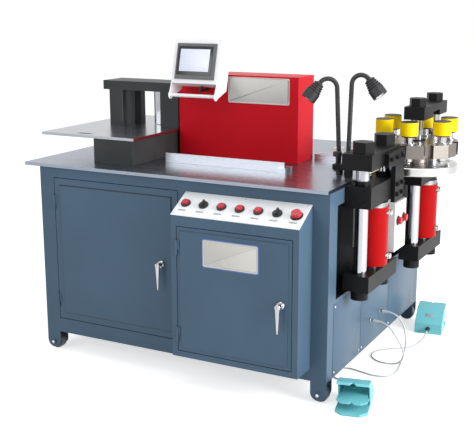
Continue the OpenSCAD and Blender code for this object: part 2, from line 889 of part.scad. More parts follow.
// Front fence with its end blocks, and the feed rail with a slot for its stop
module guide_rails() {
    color("silver") {
        wall_yz(fence_x, fence_l) polygon([
            [fence_y, table_z], [fence_y + fence_flange, table_z],
            [fence_y + fence_flange, table_z + fence_t], [fence_y + fence_t, table_z + fence_t],
            [fence_y + fence_t, table_z + fence_h], [fence_y, table_z + fence_h]
        ]);
        for (y = [fence_y - 20, fence_y + fence_flange])
            slab([fence_x + fence_l - 30, y, table_z], [fence_x + fence_l + 14, y + 20, table_z + 20]);
        wall_yz(feed_x, feed_l) difference() {
            rect(feed_y - feed_w / 2, table_z, feed_y + feed_w / 2, table_z + feed_h);
            rect(feed_y - slot_w / 2, table_z + feed_h - slot_h, feed_y + slot_w / 2, table_z + feed_h + 1);
        }
    }
}

module feed_stop() {
    top = table_z + feed_h + seat;
    x = feed_x + feed_l / 2 - stop_l / 2;
    color("white") {
        slab([x, feed_y - feed_w / 2 - 6, top], [x + stop_l, feed_y + feed_w / 2 - 4, top + 34]);
        slab([x, feed_y - slot_w / 2 + pass, top - slot_h + 2],
             [x + stop_l, feed_y + slot_w / 2 - pass, top + 4]);
        translate([x + stop_l / 2, feed_y, top + 34]) cylinder(d = 20, h = 14);
    }
}

// Frame of the display: X across, Z up its face, origin at the face's lower left corner
module on_hmi() translate([hmi_x, hmi_y, hmi_z]) rotate([-hmi_tilt, 0, 0]) children();

// Side cheek of the display, with a round tip that holds the handle tube
module cheek_outline() {
    back_low = [hmi_d, -14];
    hold = 0.8 * cheek_r;
    span = back_low - cheek_tip;
    slant = atan2(span[1], span[0]) + asin(hold / norm(span));
    polygon([
        [0, 0], cheek_tip - [hold, 0], cheek_tip + hold * [sin(slant), -cos(slant)], back_low, [hmi_d, 0]
    ]);
    translate(cheek_tip) circle(r = cheek_r);
}

module hmi_housing() {
    lug_w = 60;
    color("white") {
        on_hmi() {
            difference() {
                cube([hmi_w, hmi_d, hmi_h]);
                translate([sheet, sheet, sheet])
                    cube([hmi_w - 2 * sheet, hmi_d - 2 * sheet, hmi_h - 2 * sheet]);
                translate([(hmi_w - bezel_w) / 2 + 4, -1, (hmi_h - bezel_h) / 2 + 4])
                    cube([bezel_w - 8, sheet + 2, bezel_h - 8]);
            }
            for (x = [0, hmi_w - sheet])
                wall_yz(x, sheet) cheek_outline();
            bar_x([sheet, cheek_tip[0], cheek_tip[1]], tube_d, hmi_w - 2 * sheet);
        }
        difference() {
            for (x = [hmi_x + 30, hmi_x + hmi_w - 30 - lug_w])
                slab([x, hmi_y + 60, hmi_z - 6], [x + lug_w, cover_front, hmi_z + 24]);
            on_hmi() cube([hmi_w, hmi_d - sheet / 2, hmi_h]);
        }
        translate([hmi_x + hmi_w / 2, hmi_y + hmi_d * 0.65, hmi_z - lead_drop]) {
            cylinder(d = lead_d, h = lead_drop - hmi_d * 0.65 * tan(hmi_tilt) + sheet / 2);
            sphere(d = lead_d + 4);
            bar_y([0, 0, 0], lead_d, cover_front - hmi_y - hmi_d * 0.65);
        }
    }
}

// Display with its bezel, held in the window of the housing
module hmi_display() {
    color("darkgray") on_hmi() translate([(hmi_w - bezel_w) / 2, 0, (hmi_h - bezel_h) / 2]) difference() {
        union() {
            translate([0, -5, 0]) cube([bezel_w, 5, bezel_h]);
            translate([4 + pass, 0, 4 + pass]) cube([bezel_w - 8 - 2 * pass, 40, bezel_h - 8 - 2 * pass]);
        }
        translate([18, -6, 22]) cube([bezel_w - 36, 3, bezel_h - 40]);
    }
}

// Rods and piston rod of a press unit, from the middle of its front rod
module unit_rods(pitch, top) {
    for (y = [0, pitch])
        translate([0, y, plate_z]) cylinder(d = rod_d, h = top - plate_z);
    translate([0, pitch / 2, plate_z + plate_t]) cylinder(d = piston_d, h = piston_l);
}

// Bores for both rods of a press unit
module rod_bores(pitch, clearance) {
    for (y = [0, pitch])
        translate([0, y, plate_z - 1]) cylinder(d = rod_d + 2 * clearance, h = table_z);
}

// Block across both rods between two heights
module unit_block(pitch, w, z0, z1)
    slab([-w / 2, -rod_margin, z0], [w / 2, pitch + rod_margin, z1]);

// Bottom plate and nuts of the moving yoke
module unit_yoke_ends(pitch, w, top, nut_w, nut_h) {
    difference() {
        unit_block(pitch, w, plate_z, plate_z + plate_t);
        rod_bores(pitch, fit);
    }
    for (y = [0, pitch]) {
        translate([0, y, top]) cylinder(d = nut_w / cos(30), h = nut_h, $fn = 6);
        translate([0, y, plate_z - 40]) cylinder(d = foot_nut_d, h = 40);
    }
}

// Hydraulic cylinder hung under a lower block
module unit_cylinder(pitch) {
    color("red") translate([0, pitch / 2, 0]) difference() {
        union() {
            translate([0, 0, cyl_z]) cylinder(d = cyl_d, h = block_z - 18 - cyl_z);
            translate([0, 0, block_z - 18]) cylinder(d = cyl_d - 8, h = 18);
        }
        translate([0, 0, cyl_z - 1]) cylinder(d = piston_d + 2 * fit, h = block_z - cyl_z - 20);
    }
}

module at_shear() translate([shear_x, shear_y, 0]) children();
module at_punch() translate([punch_x, punch_y, 0]) children();

// Lower block of the shear with its bracket into the recess, rod bushes and lower blade
module shear_block() {
    color("dimgray") {
        at_shear() difference() {
            union() {
                unit_block(shear_pitch, shear_w, block_z, shear_top);
                for (y = [0, shear_pitch])
                    translate([0, y, shear_top]) cylinder(d = rod_d + 12, h = 18);
            }
            rod_bores(shear_pitch, fit);
        }
        slab([liner_x, shear_arm[0], block_z], [shear_x - shear_w / 2, shear_arm[1], arm_top]);
        difference() {
            union() {
                slab([hold_x - 16, hold_y - 14, table_z + 26], [hold_x + 64, hold_y + 14, table_z + 48]);
                slab([hold_x + 40, hold_y - 14, table_z], [hold_x + 64, hold_y + 14, table_z + 48]);
            }
            translate([hold_x, hold_y, table_z]) cylinder(d = hold_d + 2 * fit, h = 60);
        }
    }
    color("silver") slab([blade_x, blade_y, shear_top], [cut_x - pass / 2, blade_y + blade_l, table_z]);
}

// Hold-down screw with its foot and knob
module hold_down() {
    foot_z = table_z + 1 + hold_travel;
    color("dimgray") translate([hold_x, hold_y, 0]) {
        translate([0, 0, foot_z]) cylinder(d = 30, h = 6);
        translate([0, 0, foot_z + 6]) cylinder(d = hold_d, h = 66);
        translate([0, 0, foot_z + 62]) cylinder(d = 36, h = 18);
    }
}

// Side plate that guides the shear's beam, bolted to the lower block
module shear_guide() {
    x = shear_x + shear_w / 2;
    leg_w = 112;
    y1 = shear_y + shear_pitch + rod_margin;
    top = shear_beam_z + shear_beam_t - 14;
    color("dimgray") {
        wall_yz(x, guide_t) polygon([
            [y1 - leg_w, block_z - 14], [y1, block_z - 14], [y1, top], [y1 - 200, top],
            [y1 - 200, shear_beam_z - 8], [y1 - leg_w, shear_beam_z - 8]
        ]);
        for (y = [y1 - 90, y1 - 30], z = [block_z + 18, block_z + 60])
            bar_x([x + guide_t, y, z], 18, 9);
        for (y = [y1 - 170, y1 - 100, y1 - 30])
            bar_x([x + guide_t, y, top - 26], 18, 9);
    }
}

module shear_cylinder() at_shear() unit_cylinder(shear_pitch);

module shear_yoke() {
    top = shear_beam_z + shear_beam_t;
    color("dimgray") at_shear() {
        difference() {
            slab([-shear_w / 2 - shear_over, -rod_margin, shear_beam_z],
                 [shear_w / 2 - 2 * pass, shear_pitch + rod_margin, top]);
            rod_bores(shear_pitch, fit);
        }
        unit_yoke_ends(shear_pitch, shear_w, top, shear_nut_w, shear_nut_h);
    }
    color("silver")
        slab([cut_x + pass / 2, blade_y, shear_beam_z - blade_h],
             [cut_x + blade_t, blade_y + blade_l, shear_beam_z]);
}

module shear_rods() color("silver") at_shear() unit_rods(shear_pitch, shear_beam_z + shear_beam_t);

// Lower block of the punch with its bracket and the sleeve that carries the turret
module punch_block() {
    back_x = punch_x - punch_w / 2;
    cyl_side = punch_x - cyl_d / 2 - 8;
    color("dimgray") {
        at_punch() difference() {
            union() {
                unit_block(punch_pitch, punch_w, block_z, punch_block_top);
                translate([0, 0, punch_block_top]) cylinder(d = hub_d - 6, h = 2 - seat);
                translate([0, 0, punch_block_top])
                    cylinder(d = sleeve_d, h = turret_top + 4 - punch_block_top);
            }
            rod_bores(punch_pitch, fit);
        }
        slab([liner_x, punch_arm[0], block_z], [back_x, punch_arm[1], punch_block_top - 8]);
        slab([liner_x, punch_arm[0], plate_z + 40], [cyl_side, punch_arm[1], block_z]);
    }
}

module punch_cylinder() at_punch() unit_cylinder(punch_pitch);

module punch_yoke() {
    top = punch_beam_z + punch_beam_t;
    cap_r = cap_d / 2 + relief_gap;
    slot_in = sqrt(pow(station_r - cap_r, 2) - pow(punch_w / 2, 2));
    color("dimgray") at_punch() {
        difference() {
            unit_block(punch_pitch, punch_w, punch_beam_z, top);
            translate([0, 0, plate_z]) cylinder(d = rod_d + 2 * fit, h = top);
            translate([0, punch_pitch, plate_z]) cylinder(d = rod_d + 2 * fit, h = top);
            slab([-punch_w, slot_in, punch_beam_z - 1],
                 [punch_w, station_r + cap_r, punch_beam_z + relief_h]);
        }
        unit_yoke_ends(punch_pitch, punch_w, top, punch_nut_w, punch_nut_h);
    }
}

module punch_rods() color("silver") at_punch() unit_rods(punch_pitch, punch_beam_z + punch_beam_t);

// Turret turning on the sleeve: chamfered die disc, hub and notched twelve-sided upper plate
module turret() {
    edge = 3;
    bore_r = sleeve_d / 2 + fit;
    color("silver") at_punch() {
        difference() {
            translate([0, 0, disc_z]) rotate_extrude($fn = 128) polygon([
                [bore_r, 0], [disc_r - edge, 0], [disc_r, edge], [disc_r, disc_t - edge],
                [disc_r - edge, disc_t], [bore_r, disc_t]
            ]);
            at_stations(disc_z - 1) cylinder(d = tip_d + 2 * die_clear, h = disc_t + 2);
        }
        translate([0, 0, disc_z + disc_t + seat]) difference() {
            cylinder(d = hub_d, h = turret_gap - 2 * seat);
            translate([0, 0, -1]) cylinder(r = bore_r, h = turret_gap + 2);
        }
        difference() {
            translate([0, 0, turret_z]) rotate(stations[0]) difference() {
                cylinder(r = turret_r, h = turret_t, $fn = 12);
                translate([0, 0, -1]) cylinder(r = bore_r, h = turret_t + 2);
                for (k = [0:5])
                    rotate(60 * k + 30) translate([turret_r - notch_in + notch_half, 0, -1]) {
                        cylinder(r = notch_half, h = turret_t + 2);
                        translate([0, -notch_half, 0]) cube([notch_in, 2 * notch_half, turret_t + 2]);
                    }
            }
            at_stations(turret_z - 1) cylinder(d = pin_d + 2 * fit, h = turret_t + 2);
        }
    }
}

// Each station of the turret at a height
module at_stations(z)
    for (a = stations)
        rotate(a) translate([station_r, 0, z]) children();

// Punch with its tip, guide, neck and cap
module punch(k) {
    chamfer = 3;
    rim = 2;
    guide_z = pin_z + tip_h;
    color("gold") at_punch() rotate(stations[k]) translate([station_r, 0, 0]) rotate_extrude() polygon([
        [0, pin_z], [tip_d / 2, pin_z], [tip_d / 2, guide_z], [pin_d / 2 - chamfer, guide_z],
        [pin_d / 2, guide_z + chamfer], [pin_d / 2, cap_z - neck_l], [cap_d / 2 - 10, cap_z - neck_l],
        [cap_d / 2 - 1, cap_z], [cap_d / 2, cap_z], [cap_d / 2, cap_top - rim], [cap_d / 2 - rim, cap_top],
        [0, cap_top]
    ]);
}

module punch_1() punch(0);
module punch_2() punch(1);
module punch_3() punch(2);
module punch_4() punch(3);
module punch_5() punch(4);
module punch_6() punch(5);

// Switch box between the press units
module switch_box() {
    x1 = right_x + switch_out;
    color("white") difference() {
        slab([liner_x, switch_y - switch_w / 2, switch_z],
             [x1, switch_y + switch_w / 2, switch_z + switch_h]);
        slab([liner_x + 40, switch_y - switch_w / 2 + sheet, switch_z + sheet],
             [x1 - sheet, switch_y + switch_w / 2 - sheet, switch_z + switch_h - sheet]);
        for (s = [-1, 1])
            bar_x([x1 - sheet - 1, switch_y + s * switch_w / 4, mushroom_z], stem_bore, sheet + 2);
    }
}

module side_button(s) {
    color("red") translate([right_x + switch_out, switch_y + s * switch_w / 4, mushroom_z]) rotate([0, 90, 0])
        push_button(mushroom_d, 12);
}

module side_button_1() side_button(-1);
module side_button_2() side_button(1);

// Places of the lamps: the left one bends left and forwards, the right one to the right
module left_lamp() translate([lamp_x1, lamp_y, table_z]) rotate([0, -lamp_lean1, 0])
    rotate(lamp_swing) children();
module right_lamp() translate([lamp_x2, lamp_y - lamp_step, table_z]) rotate([0, lamp_lean2, 0])
    mirror([1, 0, 0]) children();

module neck(h) {
    translate([0, 0, 12]) cylinder(d = neck_d, h = h - 12);
    translate([-neck_bend, 0, h]) rotate([90, 0, 0])
        rotate_extrude(angle = lamp_turn) translate([neck_bend, 0]) circle(d = neck_d);
}

module lamp_necks() {
    color("dimgray") {
        left_lamp() neck(neck_h);
        right_lamp() neck(neck_h + neck_more);
        translate([lamp_x1, lamp_y, table_z]) cylinder(d = lamp_base_d, h = 20);
        translate([lamp_x2, lamp_y - lamp_step, table_z]) cylinder(d = lamp_base_d, h = 20);
    }
}

// Ribbed head at the end of a neck, with a hollow face
module lamp_head(h) {
    rib = 5;
    lip = 3;
    rim_r = lamp_d / 2;
    translate([-neck_bend + neck_bend * cos(lamp_turn), 0, h + neck_bend * sin(lamp_turn)])
        rotate([0, -lamp_turn, 0]) rotate_extrude() polygon(concat(
            [[0, 0], [neck_d / 2 + 2, 0]],
            [for (k = [0:3], s = [0:3])
                [rim_r - 10 + 2.5 * k - (s == 0 || s == 3 ? 3 : 0), 6 + (2 * k + floor(s / 2)) * rib]],
            [[rim_r, 6 + 8 * rib], [rim_r, lamp_l], [rim_r - lip, lamp_l], [rim_r - lip, lamp_l - 6],
             [0, lamp_l - 6]]
        ));
}

module lamp_heads() {
    color("dimgray") {
        left_lamp() lamp_head(neck_h);
        right_lamp() lamp_head(neck_h + neck_more);
    }
}

// Guarded foot switch in its own frame: mouth towards -Y, gland towards +Y
lip_y = -pedal_l * 0.22;
lip_drop = 8;
shoulder_y = pedal_l * 0.15;
shoulder_drop = 12;
step = 10;

// Side view of the hood, and of the space under it
module hood_outline() polygon([
    [pedal_l / 2, 0], [pedal_l / 2, pedal_back], [pedal_l / 2 - step, pedal_back + 6],
    [shoulder_y, pedal_h - shoulder_drop], [lip_y, pedal_h], [lip_y - step, pedal_h - lip_drop],
    [lip_y + 3 * step, pedal_h - 3 * lip_drop], [0, pivot_z], [step, 0]
]);
module hood_space() polygon([
    [-pedal_l, pedal_base_t], [pivot_y + 18, pedal_base_t], [pivot_y + 18, pivot_z + 12],
    [shoulder_y, pedal_h - shoulder_drop - pedal_t * 1.2], [lip_y, pedal_h - pedal_t],
    [lip_y - 2 * step, pedal_h - pedal_t - 2 * lip_drop], [-pedal_l, pedal_h - pedal_t - 2 * lip_drop]
]);

module pedal_housing() {
    corner = 28;
    notch = 24;
    half = pedal_w / 2;
    color("cadetblue") {
        linear_extrude(pedal_base_t) polygon([
            [-half, pedal_l / 2], [half, pedal_l / 2], [half, corner - pedal_l / 2],
            [half - corner, -pedal_l / 2], [corner - half, -pedal_l / 2], [-half, corner - pedal_l / 2]
        ]);
        difference() {
            wall_yz(-half, pedal_w) hood_outline();
            wall_yz(-half + pedal_t, pedal_w - 2 * pedal_t) hood_space();
            translate([0, 0, pedal_h / 2]) linear_extrude(pedal_h)
                polygon([[-notch, lip_y - 2 * step], [notch, lip_y - 2 * step], [0, lip_y + step]]);
            bar_x([-pedal_w, pivot_y, pivot_z], pivot_d + 2 * fit, 2 * pedal_w);
        }
        bar_x([-half - 3, pivot_y, pivot_z], pivot_d, pedal_w + 6);
    }
    color("dimgray") bar_y([0, pedal_l / 2 + seat, gland_z], gland_d, gland_l);
}

// Pedal plate with a notched front edge, hinged on the pin at its back
module pedal_plate() {
    inner = pedal_w / 2 - pedal_t - 4;
    outer = pedal_w / 2 - 2;
    plate_t = 6;
    reach = pivot_y + pedal_l / 2 - 15;
    wide_y = pivot_y + 18;
    corner = 24;
    notch = 12;
    color("cadetblue") translate([0, pivot_y, pivot_z]) difference() {
        union() {
            rotate([-pedal_rise, 0, 0]) translate([0, 0, -plate_t / 2]) linear_extrude(plate_t) polygon([
                [-inner, -plate_t], [-inner, -wide_y], [-outer, -wide_y - 8], [-outer, corner - reach],
                [corner - outer, -reach], [-notch, -reach], [0, notch - reach], [notch, -reach],
                [outer - corner, -reach], [outer, corner - reach], [outer, -wide_y - 8], [inner, -wide_y],
                [inner, -plate_t]
            ]);
            bar_x([-inner + 4, 0, 0], pivot_d + 10, 2 * inner - 8);
        }
        bar_x([-pedal_w, 0, 0], pivot_d + 2 * fit, 2 * pedal_w);
    }
}

module at_front_pedal() translate(front_pedal_at) rotate(front_pedal_turn) children();
module at_rear_pedal() translate(rear_pedal_at) rotate(rear_pedal_turn) children();
module front_pedal_housing() at_front_pedal() pedal_housing();
module rear_pedal_housing() at_rear_pedal() pedal_housing();
module front_pedal_plate() at_front_pedal() pedal_plate();
module rear_pedal_plate() at_rear_pedal() pedal_plate();

// Smooth curve through a route: each stretch leaves and meets its points along their headings
function unit(v) = v / norm(v);
function heading(p, i) = unit(p[min(i + 1, len(p) - 1)] - p[max(i - 1, 0)]);
function stretch(p, i, t) =
    let (
        a = p[i],
        d = p[i + 1],
        reach = norm(d - a) / 3,
        b = a + reach * heading(p, i),
        c = d - reach * heading(p, i + 1),
        s = 1 - t
    )
    s * s * s * a + 3 * s * s * t * b + 3 * s * t * t * c + t * t * t * d;
function curve(p, steps) = concat(
    [for (i = [0:len(p) - 2], s = [0:steps - 1]) stretch(p, i, s / steps)],
    [p[len(p) - 1]]
);

// Tube swept along a route
module tube(route, d, sides, steps) {
    line = curve(route, steps);
    last = len(line) - 1;
    rings = [
        for (i = [0:last])
            let (
                along = i == 0 ? unit(route[1] - route[0])
                    : i == last ? unit(route[len(route) - 1] - route[len(route) - 2])
                    : unit(line[i + 1] - line[i - 1]),
                side = unit(cross(along, abs(along[2]) > 0.9 ? [1, 0, 0] : [0, 0, 1])),
                up = cross(side, along)
            )
            for (k = [0:sides - 1])
                line[i] + d / 2 * (cos(360 * k / sides) * side + sin(360 * k / sides) * up)
    ];
    walls = [
        for (i = [0:last - 1], k = [0:sides - 1])
            let (a = i * sides + k, b = i * sides + (k + 1) % sides)
            each [[a, b, b + sides], [a, b + sides, a + sides]]
    ];
    ends = [[for (k = [sides - 1:-1:0]) k], [for (k = [0:sides - 1]) last * sides + k]];
    polyhedron(rings, concat(walls, ends));
}

module front_pedal_cord() color("gainsboro") tube(front_cord_route, cord_d, 8, 2);
module rear_pedal_cord() color("gainsboro") tube(rear_cord_route, cord_d, 8, 2);

centred() cabinet_frame();
centred() cabinet_panels();
centred() table_top();
centred() hydraulic_unit();
centred() control_box();
centred() control_panel();
centred() electrical_plate();
centred() bender_base();
centred() bender_table();
centred() bender_frame();
centred() bender_cylinder();
centred() bender_cover();
centred() guide_rails();
centred() hmi_housing();
centred() hmi_display();
centred() shear_block();
centred() shear_guide();
centred() shear_cylinder();
centred() punch_block();
centred() punch_cylinder();
centred() lamp_necks();
centred() lamp_heads();
centred() switch_box();
centred() front_pedal_housing();
centred() rear_pedal_housing();
centred() front_pedal_cord();
centred() rear_pedal_cord();
centred() wheel_front_left();
centred() wheel_front_right();
centred() wheel_rear_left();
centred() wheel_rear_right();
centred() left_door();
centred() left_door_handle();
centred() box_door();
centred() box_door_handle();
centred() push_button_1();
centred() push_button_2();
centred() push_button_3();
centred() push_button_4();
centred() stop_button();
centred() selector_1();
centred() selector_2();
centred() side_button_1();
centred() side_button_2();
centred() shear_yoke();
centred() shear_rods();
centred() punch_yoke();
centred() punch_rods();
centred() turret();
centred() punch_1();
centred() punch_2();
centred() punch_3();
centred() punch_4();
centred() punch_5();
centred() punch_6();
centred() bender_ram();
centred() front_pedal_plate();
centred() rear_pedal_plate();
centred() feed_stop();
centred() hold_down();
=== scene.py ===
# %% [markdown]
# A busbar machine bends, shears and punches copper bars. Its solids come from CAD and are loaded first, as
# a frame that stays where it is. Everything made here is set against that frame, in metres.

# %% Load the frame
import bmesh
import bpy
import math
from mathutils import Matrix, Vector


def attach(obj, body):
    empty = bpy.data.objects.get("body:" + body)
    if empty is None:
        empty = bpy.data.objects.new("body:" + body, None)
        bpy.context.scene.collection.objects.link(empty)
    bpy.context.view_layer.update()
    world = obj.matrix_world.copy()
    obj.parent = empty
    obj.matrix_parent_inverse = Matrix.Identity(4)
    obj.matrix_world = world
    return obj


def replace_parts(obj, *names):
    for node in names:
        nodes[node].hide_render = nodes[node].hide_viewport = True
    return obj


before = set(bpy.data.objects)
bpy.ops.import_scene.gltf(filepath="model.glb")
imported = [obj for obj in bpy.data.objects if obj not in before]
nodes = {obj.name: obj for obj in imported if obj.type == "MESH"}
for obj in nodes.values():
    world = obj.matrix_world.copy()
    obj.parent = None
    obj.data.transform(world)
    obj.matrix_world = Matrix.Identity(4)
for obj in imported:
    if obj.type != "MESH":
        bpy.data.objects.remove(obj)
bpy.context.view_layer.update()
print("frame nodes:", len(nodes))

# %% [markdown]
# The drawing of the machine is measured from the middle of its cabinet, in millimetres, while the frame's
# origin is under the middle of the whole machine. One small helper turns the drawing's places into the
# frame's metres.

# %% Places on the drawing
MIDDLE = Vector((107.0, -77.5, 0.0))


def place(x, y, z):
    return (Vector((x, y, z)) - MIDDLE) / 1000


TABLE_Z = 880
print("table height:", place(0, 0, TABLE_Z).z)

# %% [markdown]
# The camera stands where the photographer stood: a little to the right, above the table and about four
# metres off. It could be moved by hand until the picture fits, but a pinhole camera that is fitted to the
# cabinet's edges gives its angles, its place and its lens at once.

# %% Camera
SENSOR_MM = 36.0
FRAME_WIDTH_PX = 474
FOCAL_PX = 940.63
TURN, PITCH, ROLL = (math.radians(angle) for angle in (27.65, 13.32, 0.08))
view = bpy.data.cameras.new("photo_camera")
view.sensor_width = SENSOR_MM
view.lens = FOCAL_PX / FRAME_WIDTH_PX * SENSOR_MM
view.clip_end = 60
eye = bpy.data.objects.new("photo_camera", view)
gaze = Vector((-math.sin(TURN) * math.cos(PITCH), math.cos(TURN) * math.cos(PITCH), -math.sin(PITCH)))
level = gaze.to_track_quat("-Z", "Y").to_matrix()
eye.rotation_euler = (level @ Matrix.Rotation(-ROLL, 3, "Z")).to_euler()
eye.location = place(2014.6, -3876.6, 1597.2)
bpy.context.scene.collection.objects.link(eye)
bpy.context.scene.camera = eye
print("lens:", round(view.lens, 2))

# %% [markdown]
# Small helpers build node materials. Each finish starts from one shader, and reads Object coordinates, so a
# pattern keeps its size in metres on every piece.

# %% Material helpers
def start_finish(name):
    mat = bpy.data.materials.new(name)
    mat.use_nodes = True
    tree = mat.node_tree
    tree.nodes.clear()
    out = tree.nodes.new("ShaderNodeOutputMaterial")
    shader = tree.nodes.new("ShaderNodeBsdfPrincipled")
    tree.links.new(shader.outputs[0], out.inputs[0])
    return mat, tree, shader


def add(tree, kind, **values):
    made = tree.nodes.new(kind)
    for key, value in values.items():
        if key in made.inputs:
            made.inputs[key].default_value = value
        else:
            setattr(made, key, value)
    return made


def join(tree, source, target):
    tree.links.new(source, target)


def stretched_noise(tree, scale, detail=3.0, rough=0.55):
    coords = add(tree, "ShaderNodeTexCoord")
    moved = add(tree, "ShaderNodeMapping")
    moved.inputs["Scale"].default_value = scale
    grain = add(tree, "ShaderNodeTexNoise", Scale=1.0, Detail=detail, Roughness=rough)
    join(tree, coords.outputs["Object"], moved.inputs["Vector"])
    join(tree, moved.outputs[0], grain.inputs["Vector"])
    return grain.outputs["Fac"]


def spread(tree, source, low, high, start=0.3, end=0.7):
    ranged = add(tree, "ShaderNodeMapRange")
    ranged.inputs["From Min"].default_value = start
    ranged.inputs["From Max"].default_value = end
    ranged.inputs["To Min"].default_value = low
    ranged.inputs["To Max"].default_value = high
    join(tree, source, ranged.inputs["Value"])
    return ranged.outputs[0]


def blend_colours(tree, factor, first, second):
    mixed = add(tree, "ShaderNodeMix", data_type="RGBA")
    join(tree, factor, mixed.inputs[0])
    for socket, colour in ((mixed.inputs[6], first), (mixed.inputs[7], second)):
        if isinstance(colour, tuple):
            socket.default_value = (*colour, 1.0)
        else:
            join(tree, colour, socket)
    return mixed.outputs[2]


def soft_edges(tree, radius):
    return add(tree, "ShaderNodeBevel", samples=4, Radius=radius).outputs[0]


def worn_and_highlit_edges(tree, rounded, amount):
    # Mask of the rounded edges, where the paint gets a lighter colour: partly wear, partly a painted
    # highlight.
    flat = add(tree, "ShaderNodeNewGeometry").outputs["Normal"]
    dot = add(tree, "ShaderNodeVectorMath", operation="DOT_PRODUCT")
    join(tree, rounded, dot.inputs[0])
    join(tree, flat, dot.inputs[1])
    return spread(tree, dot.outputs["Value"], amount, 0.0, 0.75, 0.97)


def relief(tree, height, strength, distance, rounded):
    bump = add(tree, "ShaderNodeBump", Strength=strength, Distance=distance)
    join(tree, height, bump.inputs["Height"])
    join(tree, rounded, bump.inputs["Normal"])
    return bump.outputs[0]


print("material helpers ready")

# %% [markdown]
# Some CAD nodes hold two finishes, such as a painted panel with a liner behind it that is painted near-black
# as shade. Their solids stay
# as they are: a box in Object coordinates picks out the stretch that gets another colour, gloss or metal.

# %% Zones inside a finish
def inside(tree, low, high):
    coords = add(tree, "ShaderNodeTexCoord")
    moved = add(tree, "ShaderNodeVectorMath", operation="SUBTRACT")
    moved.inputs[1].default_value = (low + high) / 2
    sized = add(tree, "ShaderNodeVectorMath", operation="DIVIDE")
    sized.inputs[1].default_value = (high - low) / 2
    size = add(tree, "ShaderNodeVectorMath", operation="ABSOLUTE")
    parts = add(tree, "ShaderNodeSeparateXYZ")
    wide = add(tree, "ShaderNodeMath", operation="MAXIMUM")
    most = add(tree, "ShaderNodeMath", operation="MAXIMUM")
    within = add(tree, "ShaderNodeMath", operation="LESS_THAN")
    within.inputs[1].default_value = 1.0
    join(tree, coords.outputs["Object"], moved.inputs[0])
    join(tree, moved.outputs[0], sized.inputs[0])
    join(tree, sized.outputs[0], size.inputs[0])
    join(tree, size.outputs[0], parts.inputs[0])
    join(tree, parts.outputs[0], wide.inputs[0])
    join(tree, parts.outputs[1], wide.inputs[1])
    join(tree, wide.outputs[0], most.inputs[0])
    join(tree, parts.outputs[2], most.inputs[1])
    join(tree, most.outputs[0], within.inputs[0])
    return within.outputs[0]


def zone(mat, low, high, colour, rough, metal=0.0):
    tree = mat.node_tree
    shader = next(n for n in tree.nodes if n.type == "BSDF_PRINCIPLED")
    mask = inside(tree, low, high)
    base = shader.inputs["Base Color"]
    join(tree, blend_colours(tree, mask, base.links[0].from_socket, colour), base)
    for name, value in (("Roughness", rough), ("Metallic", metal)):
        socket = shader.inputs[name]
        mixed = add(tree, "ShaderNodeMix", data_type="FLOAT")
        join(tree, mask, mixed.inputs[0])
        if socket.links:
            join(tree, socket.links[0].from_socket, mixed.inputs[2])
        else:
            mixed.inputs[2].default_value = socket.default_value
        mixed.inputs[3].default_value = value
        join(tree, mixed.outputs[0], socket)


print("zone helper ready")

# %% [markdown]
# Paint on sheet metal is never one flat colour. A slow cloud changes it a little, fine orange peel breaks
# up the reflections, and the rounded look of the folded edges comes from a Bevel node. The edges are also
# painted lighter: partly wear, partly a painted highlight on the rounding.

# %% Paint
def paint(name, colour, rough=0.35, cloud=0.1, peel=0.06, edge=None, wear_and_highlight=0.5, coat=0.0, gloss=0.5):
    mat, tree, shader = start_finish(name)
    slow = stretched_noise(tree, (3.1, 3.1, 2.2), 4.0)
    dust = stretched_noise(tree, (160, 160, 160), 2.0)
    deep = tuple(c * (1 - cloud) for c in colour)
    pale = tuple(min(1.0, c * (1 + cloud)) for c in colour)
    body = blend_colours(tree, spread(tree, slow, 0.0, 1.0), deep, pale)
    body = blend_colours(tree, spread(tree, dust, 0.0, 0.12, start=0.62, end=0.8), body, pale)
    rounded = soft_edges(tree, 0.0016)
    # Edges painted lighter: partly worn paint, partly a painted highlight on the rounded edge.
    if edge:
        body = blend_colours(tree, worn_and_highlit_edges(tree, rounded, wear_and_highlight), body, edge)
    join(tree, body, shader.inputs["Base Color"])
    join(tree, spread(tree, slow, rough - 0.05, rough + 0.06), shader.inputs["Roughness"])
    skin = stretched_noise(tree, (520, 520, 520), 2.0)
    join(tree, relief(tree, skin, peel, 0.0004, rounded), shader.inputs["Normal"])
    shader.inputs["Coat Weight"].default_value = coat
    shader.inputs["Coat Roughness"].default_value = 0.12
    shader.inputs["Specular IOR Level"].default_value = gloss
    return mat


BLUE_GREY = dict(colour=(0.068, 0.116, 0.172), rough=0.34, cloud=0.08, peel=0.05, edge=(0.12, 0.19, 0.27),
                 wear_and_highlight=0.4, gloss=0.16)
cabinet_paint = paint("cabinet_blue_grey", **BLUE_GREY)
red_paint = paint("cover_red", (0.54, 0.006, 0.014), rough=0.36, cloud=0.05, peel=0.04,
                  edge=(0.62, 0.02, 0.03), wear_and_highlight=0.25, gloss=0.08)
white_paint = paint("housing_white", (0.82, 0.83, 0.84), rough=0.42, cloud=0.03, peel=0.04, coat=0.05)
panel_white = paint("control_panel_white", (0.80, 0.82, 0.84), rough=0.30, cloud=0.05, peel=0.03, coat=0.05)
bender_grey = paint("bender_grey", (0.044, 0.048, 0.048), rough=0.42, cloud=0.30, peel=0.12,
                    edge=(0.13, 0.13, 0.13), wear_and_highlight=0.5, gloss=0.15)
PRESS_BLACK = dict(colour=(0.0085, 0.0085, 0.0090), rough=0.42, cloud=0.35, peel=0.10,
                   edge=(0.05, 0.05, 0.05), wear_and_highlight=0.6, gloss=0.12)
block_black = paint("press_black", **PRESS_BLACK)
pedal_teal = paint("pedal_teal", (0.17, 0.53, 0.58), rough=0.36, cloud=0.1, peel=0.10,
                   edge=(0.32, 0.70, 0.74), wear_and_highlight=0.5, gloss=0.3)
motor_paint = paint("motor_blue", (0.08, 0.16, 0.26), rough=0.4, cloud=0.12, peel=0.1)
print("plain paints made")
